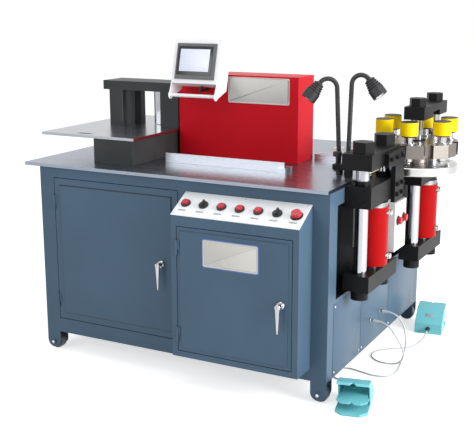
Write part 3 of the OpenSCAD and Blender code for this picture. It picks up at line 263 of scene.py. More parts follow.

# %% [markdown]
# Five nodes are painted on one part and bare, black or bright on another: the panels with the recess's
# liner, painted near-black as shade for the recess, and the steel glands, the red cylinders with their steel
# heads, the display's housing with its black lead, the shear's black steel with its two blades, and the
# punches with a yellow cap on a steel stem. A second material on chosen faces would need a changed mesh, so
# zones do it inside the one material.

# %% Paints with zones
RECESS_SHADE_BLACK = (0.010, 0.010, 0.011)
GLAND_STEEL = (0.62, 0.61, 0.58)
panel_paint = paint("panels_blue_grey", **BLUE_GREY)
# The recess's liner is painted near-black: painted shade for the deep recess.
zone(panel_paint, place(590, -522, 415), place(696.8, 474, 870), RECESS_SHADE_BLACK, 0.6)
zone(panel_paint, place(700.2, -150, 150), place(760, 60, 260), GLAND_STEEL, 0.25, 1.0)
HEAD_STEEL = (0.30, 0.30, 0.30)
cylinder_red = paint("cylinder_red", (0.38, 0.003, 0.004), rough=0.32, cloud=0.05, peel=0.04,
                     edge=(0.44, 0.02, 0.02), wear_and_highlight=0.3, gloss=0.07)
zone(cylinder_red, place(600, -400, 766.8), place(900, 400, 786), HEAD_STEEL, 0.3, 1.0)
LEAD_BLACK = (0.012, 0.012, 0.013)
housing_white = paint("display_housing_white", (0.84, 0.85, 0.86), rough=0.40, cloud=0.03, peel=0.04,
                      coat=0.05)
zone(housing_white, place(-114, -195, 1178), place(-95, -100, 1209.4), LEAD_BLACK, 0.45)
LOWER_BLADE = (0.66, 0.64, 0.55)
UPPER_BLADE = (0.78, 0.72, 0.48)
shear_black = paint("shear_black", **PRESS_BLACK)
zone(shear_black, place(702.9, -360, 872.1), place(731, -200, 880.2), LOWER_BLADE, 0.28, 1.0)
zone(shear_black, place(731.1, -360, 900), place(759.2, -200, 935.9), UPPER_BLADE, 0.4, 0.3)
CAP_FOOT, CAP_TOP = (0.012, 0.012, 0.012), (0.020, 0.020, 0.022)
PUNCH_STEEL = (0.56, 0.56, 0.56)
punch_yellow = paint("punch_yellow", (0.84, 0.60, 0.0), rough=0.36, cloud=0.06, peel=0.05,
                     edge=(0.88, 0.68, 0.04), wear_and_highlight=0.3, gloss=0.18)
zone(punch_yellow, place(500, -200, 1013.9), place(1100, 500, 1020.3), CAP_FOOT, 0.4)
zone(punch_yellow, place(500, -200, 1077.9), place(1100, 500, 1085), CAP_TOP, 0.45)
zone(punch_yellow, place(500, -200, 890), place(1100, 500, 1013.9), PUNCH_STEEL, 0.16, 1.0)
print("paints with zones made")

# %% [markdown]
# Ground steel shows the direction of the grinding wheel: noise stretched along one axis gives long thin
# streaks. Turned steel shows rings instead, so its noise reads the distance from the axis. A picture of
# brushed metal would have seams and a fixed size, and noise has neither.

# %% Steel
def ground_steel(name, colour, grain, rough=0.3, contrast=0.22):
    mat, tree, shader = start_finish(name)
    streaks = stretched_noise(tree, grain, 4.0, 0.7)
    stains = stretched_noise(tree, (4.2, 4.2, 4.2), 4.0)
    deep = tuple(c * (1 - contrast) for c in colour)
    body = blend_colours(tree, spread(tree, streaks, 0.0, 1.0), deep, colour)
    body = blend_colours(tree, spread(tree, stains, 0.0, 0.4, start=0.5, end=0.75), body, deep)
    join(tree, body, shader.inputs["Base Color"])
    shader.inputs["Metallic"].default_value = 1.0
    join(tree, spread(tree, streaks, rough - 0.07, rough + 0.1), shader.inputs["Roughness"])
    join(tree, relief(tree, streaks, 0.12, 0.0003, soft_edges(tree, 0.0012)), shader.inputs["Normal"])
    return mat


def turned_steel(name, colour, centre, rough=0.3, contrast=0.2):
    mat, tree, shader = start_finish(name)
    coords = add(tree, "ShaderNodeTexCoord")
    moved = add(tree, "ShaderNodeMapping")
    moved.inputs["Location"].default_value = (-centre.x, -centre.y, 0)
    parts = add(tree, "ShaderNodeSeparateXYZ")
    flat = add(tree, "ShaderNodeCombineXYZ")
    reach = add(tree, "ShaderNodeVectorMath", operation="LENGTH")
    rings = add(tree, "ShaderNodeCombineXYZ")
    grain = add(tree, "ShaderNodeTexNoise", Scale=700.0, Detail=3.0)
    join(tree, coords.outputs["Object"], moved.inputs["Vector"])
    join(tree, moved.outputs[0], parts.inputs[0])
    join(tree, parts.outputs[0], flat.inputs[0])
    join(tree, parts.outputs[1], flat.inputs[1])
    join(tree, flat.outputs[0], reach.inputs[0])
    join(tree, reach.outputs["Value"], rings.inputs[0])
    join(tree, parts.outputs[2], rings.inputs[2])
    join(tree, rings.outputs[0], grain.inputs["Vector"])
    stains = stretched_noise(tree, (9, 9, 14), 4.0)
    deep = tuple(c * (1 - contrast) for c in colour)
    body = blend_colours(tree, spread(tree, grain.outputs["Fac"], 0.0, 1.0), deep, colour)
    body = blend_colours(tree, spread(tree, stains, 0.0, 0.45, start=0.5, end=0.75), body, deep)
    join(tree, body, shader.inputs["Base Color"])
    shader.inputs["Metallic"].default_value = 1.0
    join(tree, spread(tree, stains, rough - 0.06, rough + 0.1), shader.inputs["Roughness"])
    ringed = relief(tree, grain.outputs["Fac"], 0.12, 0.0003, soft_edges(tree, 0.0012))
    join(tree, ringed, shader.inputs["Normal"])
    return mat


table_steel = ground_steel("table_ground_steel", (0.315, 0.355, 0.425), (7, 620, 620), 0.25, 0.25)
plate_steel = ground_steel("bending_plate_steel", (0.44, 0.465, 0.50), (9, 700, 700), 0.22, 0.2)
aluminium = ground_steel("fence_aluminium", (0.62, 0.64, 0.67), (14, 900, 900), 0.30, 0.14)
TURRET_X, TURRET_Y = 800, 155
TURRET_AXIS = place(TURRET_X, TURRET_Y, 0)
DIE_DISC_STEEL = (0.60, 0.60, 0.59)
turret_steel = turned_steel("turret_turned_steel", (0.27, 0.245, 0.225), TURRET_AXIS, 0.32, 0.26)
zone(turret_steel, place(600, -50, 840), place(1000, 360, 884.2), DIE_DISC_STEEL, 0.24, 1.0)
print("steels made")

# %% [markdown]
# Chrome is a smooth metal with faint smears. Plastics and rubber are rougher, and get a fine moulded skin.
# One helper for each kind keeps the small pieces alike: only their colour and roughness differ.

# %% Chrome, plastic and rubber
def chrome(name, colour=(0.47, 0.48, 0.50), rough=0.1):
    mat, tree, shader = start_finish(name)
    smear = stretched_noise(tree, (30, 30, 9), 4.0)
    deep = tuple(c * 0.86 for c in colour)
    join(tree, blend_colours(tree, spread(tree, smear, 0.0, 1.0), deep, colour), shader.inputs["Base Color"])
    shader.inputs["Metallic"].default_value = 1.0
    join(tree, spread(tree, smear, rough - 0.04, rough + 0.08), shader.inputs["Roughness"])
    join(tree, relief(tree, smear, 0.05, 0.0003, soft_edges(tree, 0.001)), shader.inputs["Normal"])
    return mat


def moulded(name, colour, rough=0.4, skin_scale=900, bump=0.12):
    mat, tree, shader = start_finish(name)
    skin = stretched_noise(tree, (skin_scale,) * 3, 2.0)
    cloud = stretched_noise(tree, (22, 22, 22), 3.0)
    deep = tuple(c * 0.8 for c in colour)
    join(tree, blend_colours(tree, spread(tree, cloud, 0.0, 1.0), deep, colour), shader.inputs["Base Color"])
    join(tree, spread(tree, cloud, rough - 0.06, rough + 0.08), shader.inputs["Roughness"])
    join(tree, relief(tree, skin, bump, 0.0003, soft_edges(tree, 0.001)), shader.inputs["Normal"])
    return mat


bright_chrome = chrome("bright_chrome")
zinc = chrome("zinc_fitting", (0.66, 0.67, 0.66), 0.26)
button_red = moulded("button_red", (0.50, 0.010, 0.022), 0.30)
matt_black = moulded("matt_black", (0.012, 0.012, 0.014), 0.46)
display_grey = moulded("display_bezel_grey", (0.10, 0.102, 0.108), 0.42)
stop_white = moulded("stop_white", (0.82, 0.82, 0.81), 0.4)
cord_sheath = moulded("cord_sheath", (0.60, 0.61, 0.62), 0.44, 700, 0.1)
wheel_iron = moulded("wheel_iron", (0.10, 0.105, 0.11), 0.42, 400, 0.3)
switch_grey = moulded("switchgear_grey", (0.42, 0.44, 0.45), 0.45)
print("plastics made")

# %% [markdown]
# Each CAD node takes the finish that its real piece has. A table of finish and names is easier to read and
# to change than a line for every node, and a name that is not in the frame stops the script at once.

# %% Finishes for the frame
FINISHES = [
    (cabinet_paint, "cabinet_frame control_box left_door box_door"),
    (panel_paint, "cabinet_panels"),
    (table_steel, "table_top"),
    (plate_steel, "bender_table"),
    (turret_steel, "turret"),
    (motor_paint, "hydraulic_unit"),
    (white_paint, "switch_box"),
    (panel_white, "control_panel"),
    (housing_white, "hmi_housing"),
    (switch_grey, "electrical_plate"),
    (bender_grey, "bender_base bender_frame"),
    (red_paint, "bender_cover"),
    (cylinder_red, "bender_cylinder shear_cylinder punch_cylinder"),
    (aluminium, "guide_rails"),
    (display_grey, "hmi_display"),
    (block_black, "shear_guide punch_block punch_yoke"),
    (shear_black, "shear_block shear_yoke"),
    (matt_black, "lamp_necks lamp_heads selector_1 selector_2 hold_down"),
    (pedal_teal, "front_pedal_housing rear_pedal_housing front_pedal_plate rear_pedal_plate"),
    (cord_sheath, "front_pedal_cord rear_pedal_cord"),
    (wheel_iron, "wheel_front_left wheel_front_right wheel_rear_left wheel_rear_right"),
    (bright_chrome, "left_door_handle box_door_handle shear_rods punch_rods bender_ram"),
    (button_red, "push_button_1 push_button_2 push_button_3 push_button_4 stop_button"),
    (button_red, "side_button_1 side_button_2"),
    (punch_yellow, "punch_1 punch_2 punch_3 punch_4 punch_5 punch_6"),
    (stop_white, "feed_stop"),
]
for finish, names in FINISHES:
    for name in names.split():
        nodes[name].data.materials.clear()
        nodes[name].data.materials.append(finish)
print("frame nodes finished:", sum(len(names.split()) for _, names in FINISHES))

# %% [markdown]
# The two pedal cords are thin pale leads. Each leaves a gland on the right side, arches down to the floor,
# lies there in a loose loop and goes into its pedal. Short cylinders would show their joints, so the route
# is one Bezier spline with a round bevel: at every point its handles lie along the heading from the point
# before to the point after, a third of the way to each.

# %% Cord routes
FRONT_CORD = [
    (722.3, 16, 214), (752.3, 16, 214), (790, 18, 198), (814, 26, 162), (821, 38, 118), (825, 42, 70),
    (824, 28, 30), (825, -8, 8), (838, -78, 5), (845, -150, 4), (828, -212, 4), (772, -230, 4),
    (708, -217, 4), (644, -206, 4), (600, -234, 4), (596, -288, 4), (634, -332, 4), (690, -350, 7),
    (752, -370, 20),
]
REAR_CORD = [
    (722.3, -105, 206), (752.3, -105, 206), (792, -107, 189), (822, -102, 150), (842, -88, 108),
    (851, -74, 66), (842, -66, 28), (812, -67, 7), (766, -73, 4), (722, -60, 4), (686, -20, 4), (680, 32, 4),
    (704, 80, 4), (748, 118, 4), (792, 152, 4), (820, 202, 4), (830, 260, 6), (834, 306, 16),
]
CORD_D = 0.007
PEDAL_GLAND_Z = 0.026
FRONT_PEDAL = Matrix.Translation(place(805, -560, 0)) @ Matrix.Rotation(math.radians(12), 4, "Z")
REAR_PEDAL = Matrix.Translation(place(812, 492, 0)) @ Matrix.Rotation(math.radians(188), 4, "Z")


def cord_points(route, pedal):
    ends = [pedal @ Vector((0, out, PEDAL_GLAND_Z)) for out in (0.1523, 0.1223)]
    return [place(*p) for p in route] + ends


print("route points:", len(FRONT_CORD) + 2, len(REAR_CORD) + 2)


def lay_cord(name, points, node):
    curve = bpy.data.curves.new(name, "CURVE")
    curve.dimensions = "3D"
    curve.bevel_depth = CORD_D / 2
    curve.bevel_resolution = 4
    curve.resolution_u = 10
    curve.use_fill_caps = True
    spline = curve.splines.new("BEZIER")
    spline.bezier_points.add(len(points) - 1)
    for k, knot in enumerate(spline.bezier_points):
        before, after = points[max(k - 1, 0)], points[min(k + 1, len(points) - 1)]
        heading = (after - before).normalized()
        knot.handle_left_type = knot.handle_right_type = "FREE"
        knot.co = points[k]
        knot.handle_left = points[k] - heading * (points[k] - before).length / 3
        knot.handle_right = points[k] + heading * (after - points[k]).length / 3
    curve.materials.append(cord_sheath)
    lead = bpy.data.objects.new(name, curve)
    bpy.context.scene.collection.objects.link(lead)
    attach(lead, "cabinet")
    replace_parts(lead, node)


lay_cord("front_pedal_lead", cord_points(FRONT_CORD, FRONT_PEDAL), "front_pedal_cord")
lay_cord("rear_pedal_lead", cord_points(REAR_CORD, REAR_PEDAL), "rear_pedal_cord")

# %% [markdown]
# The floor is a plain pale sheet, and behind it is a white surrounding. Seen directly or in a gloss, both
# are to look white, as in a product picture, without throwing more light on the machine. Light Path tells
# such rays apart: for them the floor glows a little on top of its own lit colour, so that it still shows
# the shadow.

# %% Floor
def seen_rays(tree):
    rays = add(tree, "ShaderNodeLightPath")
    some = add(tree, "ShaderNodeMath", operation="MAXIMUM")
    every = add(tree, "ShaderNodeMath", operation="MAXIMUM")
    join(tree, rays.outputs["Is Camera Ray"], some.inputs[0])
    join(tree, rays.outputs["Is Glossy Ray"], some.inputs[1])
    join(tree, some.outputs[0], every.inputs[0])
    join(tree, rays.outputs["Is Transmission Ray"], every.inputs[1])
    return every.outputs[0]


FLOOR_GLOW = 0.62
floor_mesh = bpy.data.meshes.new("floor")
floor_bm = bmesh.new()
bmesh.ops.create_grid(floor_bm, x_segments=1, y_segments=1, size=30.0)
floor_bm.to_mesh(floor_mesh)
floor_bm.free()
floor = bpy.data.objects.new("floor", floor_mesh)
floor.location.z = -0.0005
bpy.context.scene.collection.objects.link(floor)
floor_finish, floor_tree, floor_shader = start_finish("pale_floor")
floor_shader.inputs["Base Color"].default_value = (0.80, 0.80, 0.80, 1)
floor_shader.inputs["Roughness"].default_value = 0.9
floor_shader.inputs["Specular IOR Level"].default_value = 0.0
floor_shader.inputs["Emission Color"].default_value = (1, 1, 1, 1)
floor_glow = add(floor_tree, "ShaderNodeMath", operation="MULTIPLY")
floor_glow.inputs[1].default_value = FLOOR_GLOW
join(floor_tree, seen_rays(floor_tree), floor_glow.inputs[0])
join(floor_tree, floor_glow.outputs[0], floor_shader.inputs["Emission Strength"])
floor_mesh.materials.append(floor_finish)
print("floor made")

# %% Surrounding
world = bpy.data.worlds.new("studio")
bpy.context.scene.world = world
world.use_nodes = True
sky = world.node_tree
sky.nodes.clear()
sky_out = sky.nodes.new("ShaderNodeOutputWorld")
light_glow = add(sky, "ShaderNodeBackground", Color=(0.96, 0.98, 1.0, 1), Strength=0.5)
seen_glow = add(sky, "ShaderNodeBackground", Color=(1, 1, 1, 1), Strength=1.0)
choose = add(sky, "ShaderNodeMixShader")
join(sky, seen_rays(sky), choose.inputs[0])
join(sky, light_glow.outputs[0], choose.inputs[1])
join(sky, seen_glow.outputs[0], choose.inputs[2])
join(sky, choose.outputs[0], sky_out.inputs[0])
print("surrounding made")

# %% [markdown]
# The light is soft: a large lamp at the right, where the picture's cabinet is brightest, a weaker one at
# the left front, and a wash from above. They are area lamps, because a point lamp would throw hard shadows.

# %% Lamps of the studio
def soft_lamp(name, at, aim, power, size):
    lamp = bpy.data.lights.new(name, "AREA")
    lamp.energy = power
    lamp.shape = "RECTANGLE"
    lamp.size, lamp.size_y = size
    holder = bpy.data.objects.new(name, lamp)
    holder.location = at
    holder.rotation_euler = (Vector(aim) - Vector(at)).to_track_quat("-Z", "Y").to_euler()
    bpy.context.scene.collection.objects.link(holder)


soft_lamp("right_key", (5.2, -0.6, 2.2), (0.3, 0, 0.5), 330, (3.2, 2.8))
soft_lamp("front_fill", (-2.2, -5.0, 2.8), (0, 0, 0.6), 80, (3.2, 2.4))
soft_lamp("top_wash", (0.2, 0.2, 4.4), (0, 0, 0.8), 60, (3.2, 3.2))
bpy.context.scene.view_settings.view_transform = "Standard"
print("light set")

# %% [markdown]
# New pieces are shaped in bmesh. These helpers start a rounded block, turn a profile as a lathe does, and
# finish a mesh: doubles merged, faces turned outwards, sharp edges marked, and the piece set to ride on its
# body.

# %% Modelling helpers
DOUBLES = 1e-6


def edges_of(verts):
    return list({e for v in verts for e in v.link_edges})


def round_edges(bm, edges, radius, segments):
    bmesh.ops.bevel(bm, geom=edges, offset=radius, offset_type="OFFSET", segments=segments, profile=0.5,
                    affect="EDGES", material=-1)


def block(bm, low, high):
    made = bmesh.ops.create_cube(bm, size=1.0)["verts"]
    bmesh.ops.scale(bm, vec=high - low, verts=made)
    bmesh.ops.translate(bm, vec=(low + high) / 2, verts=made)
    return made


def rounded_block(bm, low, high, radius, segments, turn=Matrix.Identity(4)):
    made = block(bm, Vector(low), Vector(high))
    bmesh.ops.transform(bm, matrix=turn, verts=made)
    round_edges(bm, edges_of(made), radius, segments)


def lathe(bm, profile, turn=Matrix.Identity(4), steps=40):
    before = set(bm.verts)
    knots = [bm.verts.new((r, 0, h)) for r, h in profile]
    lines = [bm.edges.new(pair) for pair in zip(knots[:-1], knots[1:])]
    bmesh.ops.spin(bm, geom=knots + lines, axis=(0, 0, 1), cent=(0, 0, 0), angle=math.tau, steps=steps,
                   use_merge=True)
    bmesh.ops.remove_doubles(bm, verts=[v for v in bm.verts if v not in before], dist=DOUBLES)
    bmesh.ops.transform(bm, matrix=turn, verts=[v for v in bm.verts if v not in before])


def facing(at, direction):
    return Matrix.Translation(at) @ Vector(direction).to_track_quat("Z", "Y").to_matrix().to_4x4()


def finish_piece(name, bm, body, finish, angle=35):
    bmesh.ops.remove_doubles(bm, verts=bm.verts, dist=DOUBLES)
    bmesh.ops.recalc_face_normals(bm, faces=bm.faces)
    mesh = bpy.data.meshes.new(name)
    bm.to_mesh(mesh)
    bm.free()
    mesh.shade_smooth()
    mesh.set_sharp_from_angle(angle=math.radians(angle))
    mesh.materials.append(finish)
    piece = bpy.data.objects.new(name, mesh)
    bpy.context.scene.collection.objects.link(piece)
    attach(piece, body)
    print(name, len(mesh.polygons), "faces")
    return piece


print("modelling helpers ready")

# %% [markdown]
# Small screws hold the plates and panels. One screw is a turned dome with a round socket, light enough to
# be repeated many times.

# %% Dome screws
def dome_screw(bm, at, direction, d=9.0, h=2.6):
    r, t = d / 2000, h / 1000
    lathe(bm, [(0, t * 0.5), (r * 0.36, t * 0.5), (r * 0.44, t), (r * 0.72, t * 0.86), (r, t * 0.35),
               (r, -0.0003), (0, -0.0003)], facing(at, direction), 16)


print("dome screw ready")

# %% [markdown]
# The cover and the control box's door each carry a riveted plate. It is left bare, with a thin groove as a
# border. A cube has its four short edges rounded, and insets make the groove.

# %% Bare plates
GROOVE_DEPTH = 0.0006


def bare_plate(bm, low, high, corner, border=0.005):
    made = block(bm, low, high)
    short = [e for e in edges_of(made) if abs((e.verts[0].co - e.verts[1].co).y) > DOUBLES]
    round_edges(bm, short, corner, 6)
    bm.normal_update()
    front = [f for f in bm.faces if f.normal.y < -0.9]
    bmesh.ops.inset_region(bm, faces=front, thickness=border)
    for depth in (-GROOVE_DEPTH, GROOVE_DEPTH):
        bmesh.ops.inset_region(bm, faces=front, thickness=2 * GROOVE_DEPTH, depth=depth)


def satin(name, colour, rough=0.45, metal=0.5):
    mat = ground_steel(name, colour, (30, 800, 800), rough, 0.08)
    shader = next(n for n in mat.node_tree.nodes if n.type == "BSDF_PRINCIPLED")
    shader.inputs["Metallic"].default_value = metal
    shader.inputs["Specular IOR Level"].default_value = 0.3
    return mat


plate_silver = satin("bare_plate_silver", (0.60, 0.585, 0.55), 0.5, 0.0)
plate_bm = bmesh.new()
bare_plate(plate_bm, place(1, -116.8, 1135), place(304, -114.9, 1251), 0.006)
finish_piece("cover_plate", plate_bm, "cabinet", plate_silver)
border_bm = bmesh.new()
bare_plate(border_bm, place(206, -729.9, 543), place(462, -728.9, 664), 0.010, 0.002)
enamel_blue = paint("border_blue", (0.045, 0.13, 0.42), 0.3, 0.05, 0.04, None, 0, 0.2)
finish_piece("box_door_border", border_bm, "box_door_body", enamel_blue)
plate_bm = bmesh.new()
bare_plate(plate_bm, place(211, -730.5, 548), place(457, -729.6, 659), 0.007)
finish_piece("box_door_plate", plate_bm, "box_door_body", plate_silver)
rivet_bm = bmesh.new()
for x in (8, 297):
    for z in (1142, 1244):
        dome_screw(rivet_bm, place(x, -116.8, z), (0, -1, 0), 6, 1.6)
finish_piece("cover_plate_rivets", rivet_bm, "cabinet", zinc)

# %% [markdown]
# The side, the back and the left of the cabinet are closed by flat sheets with narrow seams between them.
# Each sheet is a thin block with rounded edges, because light caught on a real edge shows the seam better
# than a line of paint.

# %% Cabinet sheets
SIDE_IN, SIDE_OUT = 699.9, 701.2
BACK_IN, BACK_OUT = 599.9, 601.2
SHEET_FOOT, RECESS_FOOT, SHEET_HEAD = 97, 405, 850
SHEET_EDGE = 0.0006
SCREW_IN = 14
TALL_ROWS = (112, 474, 836)
sheet_bm = bmesh.new()
sheet_screws = bmesh.new()
for y0, y1 in ((-537, -224), (-220, 135), (139, 537)):
    low, high = place(SIDE_IN, y0, SHEET_FOOT), place(SIDE_OUT, y1, RECESS_FOOT)
    rounded_block(sheet_bm, low, high, SHEET_EDGE, 2)
    for y in (y0 + SCREW_IN, y1 - SCREW_IN):
        for z in (112, 391):
            dome_screw(sheet_screws, place(SIDE_OUT, y, z), (1, 0, 0))
for y0, y1 in ((-537, -2), (2, 537)):
    low, high = place(-SIDE_OUT, y0, SHEET_FOOT), place(-SIDE_IN, y1, SHEET_HEAD)
    rounded_block(sheet_bm, low, high, SHEET_EDGE, 2)
    for y in (y0 + SCREW_IN, y1 - SCREW_IN):
        for z in TALL_ROWS:
            dome_screw(sheet_screws, place(-SIDE_OUT, y, z), (-1, 0, 0))
for x0, x1 in ((-627, -2), (2, 627)):
    low, high = place(x0, BACK_IN, SHEET_FOOT), place(x1, BACK_OUT, SHEET_HEAD)
    rounded_block(sheet_bm, low, high, SHEET_EDGE, 2)
    for x in (x0 + SCREW_IN, x1 - SCREW_IN):
        for z in TALL_ROWS:
            dome_screw(sheet_screws, place(x, BACK_OUT, z), (0, 1, 0))
finish_piece("cabinet_sheets", sheet_bm, "cabinet", cabinet_paint)
finish_piece("cabinet_sheet_screws", sheet_screws, "cabinet", zinc)

# %% [markdown]
# Painted shade runs round the raised field of the left door, as a dark line in the corner between the field
# and the door's rim. A painted line would do from afar, but four thin black strips in that corner also show
# from the side. They move with the door.

# %% Painted shade round the left door's field
FIELD_LEFT, FIELD_RIGHT, FIELD_FOOT, FIELD_HEAD = -593.5, -10.5, 188.5, 786.5
STRIP = 4.1
# Four black strips: painted shade in the corner round the raised field.
crease_shade_bm = bmesh.new()
for x0, z0, x1, z1 in ((FIELD_LEFT, FIELD_FOOT, FIELD_RIGHT, FIELD_FOOT + STRIP),
                       (FIELD_LEFT, FIELD_HEAD - STRIP, FIELD_RIGHT, FIELD_HEAD),
                       (FIELD_LEFT, FIELD_FOOT, FIELD_LEFT + STRIP, FIELD_HEAD),
                       (FIELD_RIGHT - STRIP, FIELD_FOOT, FIELD_RIGHT, FIELD_HEAD)):
    rounded_block(crease_shade_bm, place(x0, -600.9, z0), place(x1, -599.9, z1), 0.0003, 2)
finish_piece("left_door_crease_shade", crease_shade_bm, "left_door_body", matt_black)

# %% [markdown]
# The door handles are chrome castings: a turned rosette, neck and knob, and a lever that narrows to its
# tip. A swept curve would be round all over. A cube whose lower end is scaled down before its edges are
# rounded keeps the flat faces of the casting.

# %% Door handles
def lever_handle(bm, at):
    base = Matrix.Translation(at)
    lathe(bm, [(0, -0.0187), (0.006, -0.0187), (0.006, 0.0003), (0.017, 0.0003), (0.017, 0.0045),
               (0.0150, 0.0075), (0.0095, 0.0090), (0.0075, 0.0130), (0.0075, 0.0230), (0.0105, 0.0250),
               (0.0125, 0.0285), (0.0125, 0.0325), (0.0105, 0.0352), (0.0045, 0.0360), (0.0036, 0.0345),
               (0, 0.0345)],
          base @ Matrix.Rotation(math.radians(90), 4, "X"), 36)
    made = bmesh.ops.create_cube(bm, size=1.0)["verts"]
    bmesh.ops.scale(bm, vec=(0.019, 0.010, 0.105), verts=made)
    tip = [v for v in made if v.co.z < 0]
    bmesh.ops.scale(bm, vec=(0.34, 0.6, 1), verts=tip)
    bmesh.ops.translate(bm, vec=(0, -0.0305, -0.056), verts=made)
    bmesh.ops.transform(bm, matrix=base, verts=made)
    round_edges(bm, edges_of(made), 0.0026, 4)
    rounded_block(bm, (-0.008, 0.009, -0.026), (0.008, 0.014, 0.008), 0.0008, 2, base)


for name, body, node, at in (
        ("left_door_lever", "left_handle_body", "left_door_handle", place(-65, -604, 489.5)),
        ("box_door_lever", "box_handle_body", "box_door_handle", place(556, -729, 436))):
    lever_bm = bmesh.new()
    lever_handle(lever_bm, at)
    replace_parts(finish_piece(name, lever_bm, body, bright_chrome, 30), node)

# %% [markdown]
# On the sloping panel every control stands in a dark collar above a small blank label, and five screws hold
# the panel. They are built flat and turned onto the slope by one matrix.

# %% Control panel fittings
SLOPE = math.atan2(71, 125)
FIRST_CONTROL_X, CONTROL_PITCH = 98, 82
CONTROLS = [FIRST_CONTROL_X + CONTROL_PITCH * k for k in range(7)]


def on_slope(x, along=0.0):
    return (Matrix.Translation(place(x, -725, 744)) @ Matrix.Rotation(SLOPE, 4, "X")
            @ Matrix.Translation((0, 0.0719 + along, 0.003)))


collar_bm = bmesh.new()
for x in CONTROLS[:6]:
    lathe(collar_bm, [(0.0157, 0.0), (0.0205, 0.0), (0.0205, 0.0030), (0.0198, 0.0068), (0.0186, 0.0078),
                      (0.0157, 0.0078), (0.0157, 0.0)], on_slope(x), 40)
lathe(collar_bm, [(0.009, 0.0), (0.0255, 0.0), (0.0255, 0.0014), (0.0247, 0.0022), (0.0220, 0.0022),
                  (0.0217, 0.0006), (0.009, 0.0006), (0.009, 0.0)], on_slope(CONTROLS[6]), 48)
finish_piece("control_collars", collar_bm, "cabinet", matt_black)
label_bm = bmesh.new()
for x in CONTROLS:
    below = on_slope(x, -0.040)
    rounded_block(label_bm, (-0.017, -0.004, -0.0001), (0.017, 0.004, 0.0006), 0.0003, 2, below)
label_grey = satin("blank_label_grey", (0.40, 0.41, 0.43), 0.5, 0.2)
finish_piece("control_labels", label_bm, "cabinet", label_grey)
screw_bm = bmesh.new()
normal = on_slope(0).to_3x3() @ Vector((0, 0, 1))
for x, along in ((70, -0.062), (618, -0.062), (70, 0.062), (618, 0.062), (344, 0.062)):
    dome_screw(screw_bm, on_slope(x, along).translation, normal, 8, 2.2)
finish_piece("control_panel_screws", screw_bm, "cabinet", zinc)

# %% [markdown]
# The display has a dark glass with a lit field in it. Both lie on the bezel and lean with it, so they are
# built upright and turned by the housing's tilt.

# %% Display glass
HMI = Matrix.Translation(place(-222, -245, 1225)) @ Matrix.Rotation(math.radians(-14), 4, "X")


def screen_finish():
    mat, tree, shader = start_finish("lit_screen")
    coords = add(tree, "ShaderNodeTexCoord")
    cells = add(tree, "ShaderNodeTexBrick", Scale=22.0)
    cells.inputs["Color1"].default_value = (0.60, 0.63, 0.74, 1)
    cells.inputs["Color2"].default_value = (0.63, 0.66, 0.77, 1)
    cells.inputs["Mortar"].default_value = (0.56, 0.59, 0.71, 1)
    cells.inputs["Mortar Size"].default_value = 0.012
    moved = add(tree, "ShaderNodeMapping")
    moved.inputs["Rotation"].default_value = (math.radians(-90), 0, 0)
    join(tree, coords.outputs["Object"], moved.inputs["Vector"])
    join(tree, moved.outputs[0], cells.inputs["Vector"])
    join(tree, cells.outputs["Color"], shader.inputs["Base Color"])
    join(tree, cells.outputs["Color"], shader.inputs["Emission Color"])
    shader.inputs["Emission Strength"].default_value = 0.25
    shader.inputs["Roughness"].default_value = 0.3
    return mat


glass_bm = bmesh.new()
rounded_block(glass_bm, (0.0250, -0.0062, 0.0370), (0.2020, -0.0049, 0.1650), 0.0006, 3, HMI)
glass_black = moulded("glass_black", (0.010, 0.010, 0.012), 0.2, 300, 0.02)
finish_piece("display_glass", glass_bm, "cabinet", glass_black)
lit_bm = bmesh.new()
rounded_block(lit_bm, (0.0375, -0.0066, 0.0530), (0.1875, -0.0060, 0.1520), 0.0002, 2, HMI)
finish_piece("display_picture", lit_bm, "cabinet", screen_finish())
pin_bm = bmesh.new()
for x, side in ((0.0, -1), (0.235, 1)):
    dome_screw(pin_bm, HMI @ Vector((x, 0.006, -0.054)), (side, 0, 0), 11, 3)
finish_piece("display_handle_screws", pin_bm, "cabinet", zinc)

# %% [markdown]
# A gooseneck is a coiled steel strip. A circle is extruded step by step along the straight stretch and the
# bend, and every other ring is a little smaller, so that the neck shows its ribs. A bevelled curve is less
# work, but it would be smooth.

# %% Goosenecks
BEND, NECK_R = 40, 0.010
NECK_SWEEP = math.radians(140)
BEND_STEPS = 32


def bend_point(height, angle):
    return Vector((-BEND + BEND * math.cos(angle), 0, height + BEND * math.sin(angle)))


def neck_frames(height):
    steps = [(Vector((0, 0, z)), 0.0) for z in range(12, height - 1, 3)]
    for angle in (NECK_SWEEP * k / BEND_STEPS for k in range(BEND_STEPS + 1)):
        steps.append((bend_point(height, angle), angle))
    return [Matrix.Translation(p / 1000) @ Matrix.Rotation(-angle, 4, "Y") for p, angle in steps]


def gooseneck(bm, base, height):
    before = set(bm.verts)
    ring = bmesh.ops.create_circle(bm, cap_ends=False, radius=NECK_R, segments=24)["verts"]
    edges = edges_of(ring)
    last = Matrix.Identity(4)
    for k, here in enumerate(neck_frames(height)):
        step = here @ Matrix.Scale(1.0 if k % 2 else 0.9, 4)
        if k:
            grown = bmesh.ops.extrude_edge_only(bm, edges=edges)["geom"]
            edges = [g for g in grown if isinstance(g, bmesh.types.BMEdge)]
            ring = [g for g in grown if isinstance(g, bmesh.types.BMVert)]
        bmesh.ops.transform(bm, matrix=step @ last.inverted(), verts=ring)
        last = step
    bmesh.ops.holes_fill(bm, edges=[e for e in bm.edges if e.is_boundary], sides=0)
    bmesh.ops.transform(bm, matrix=base, verts=[v for v in bm.verts if v not in before])


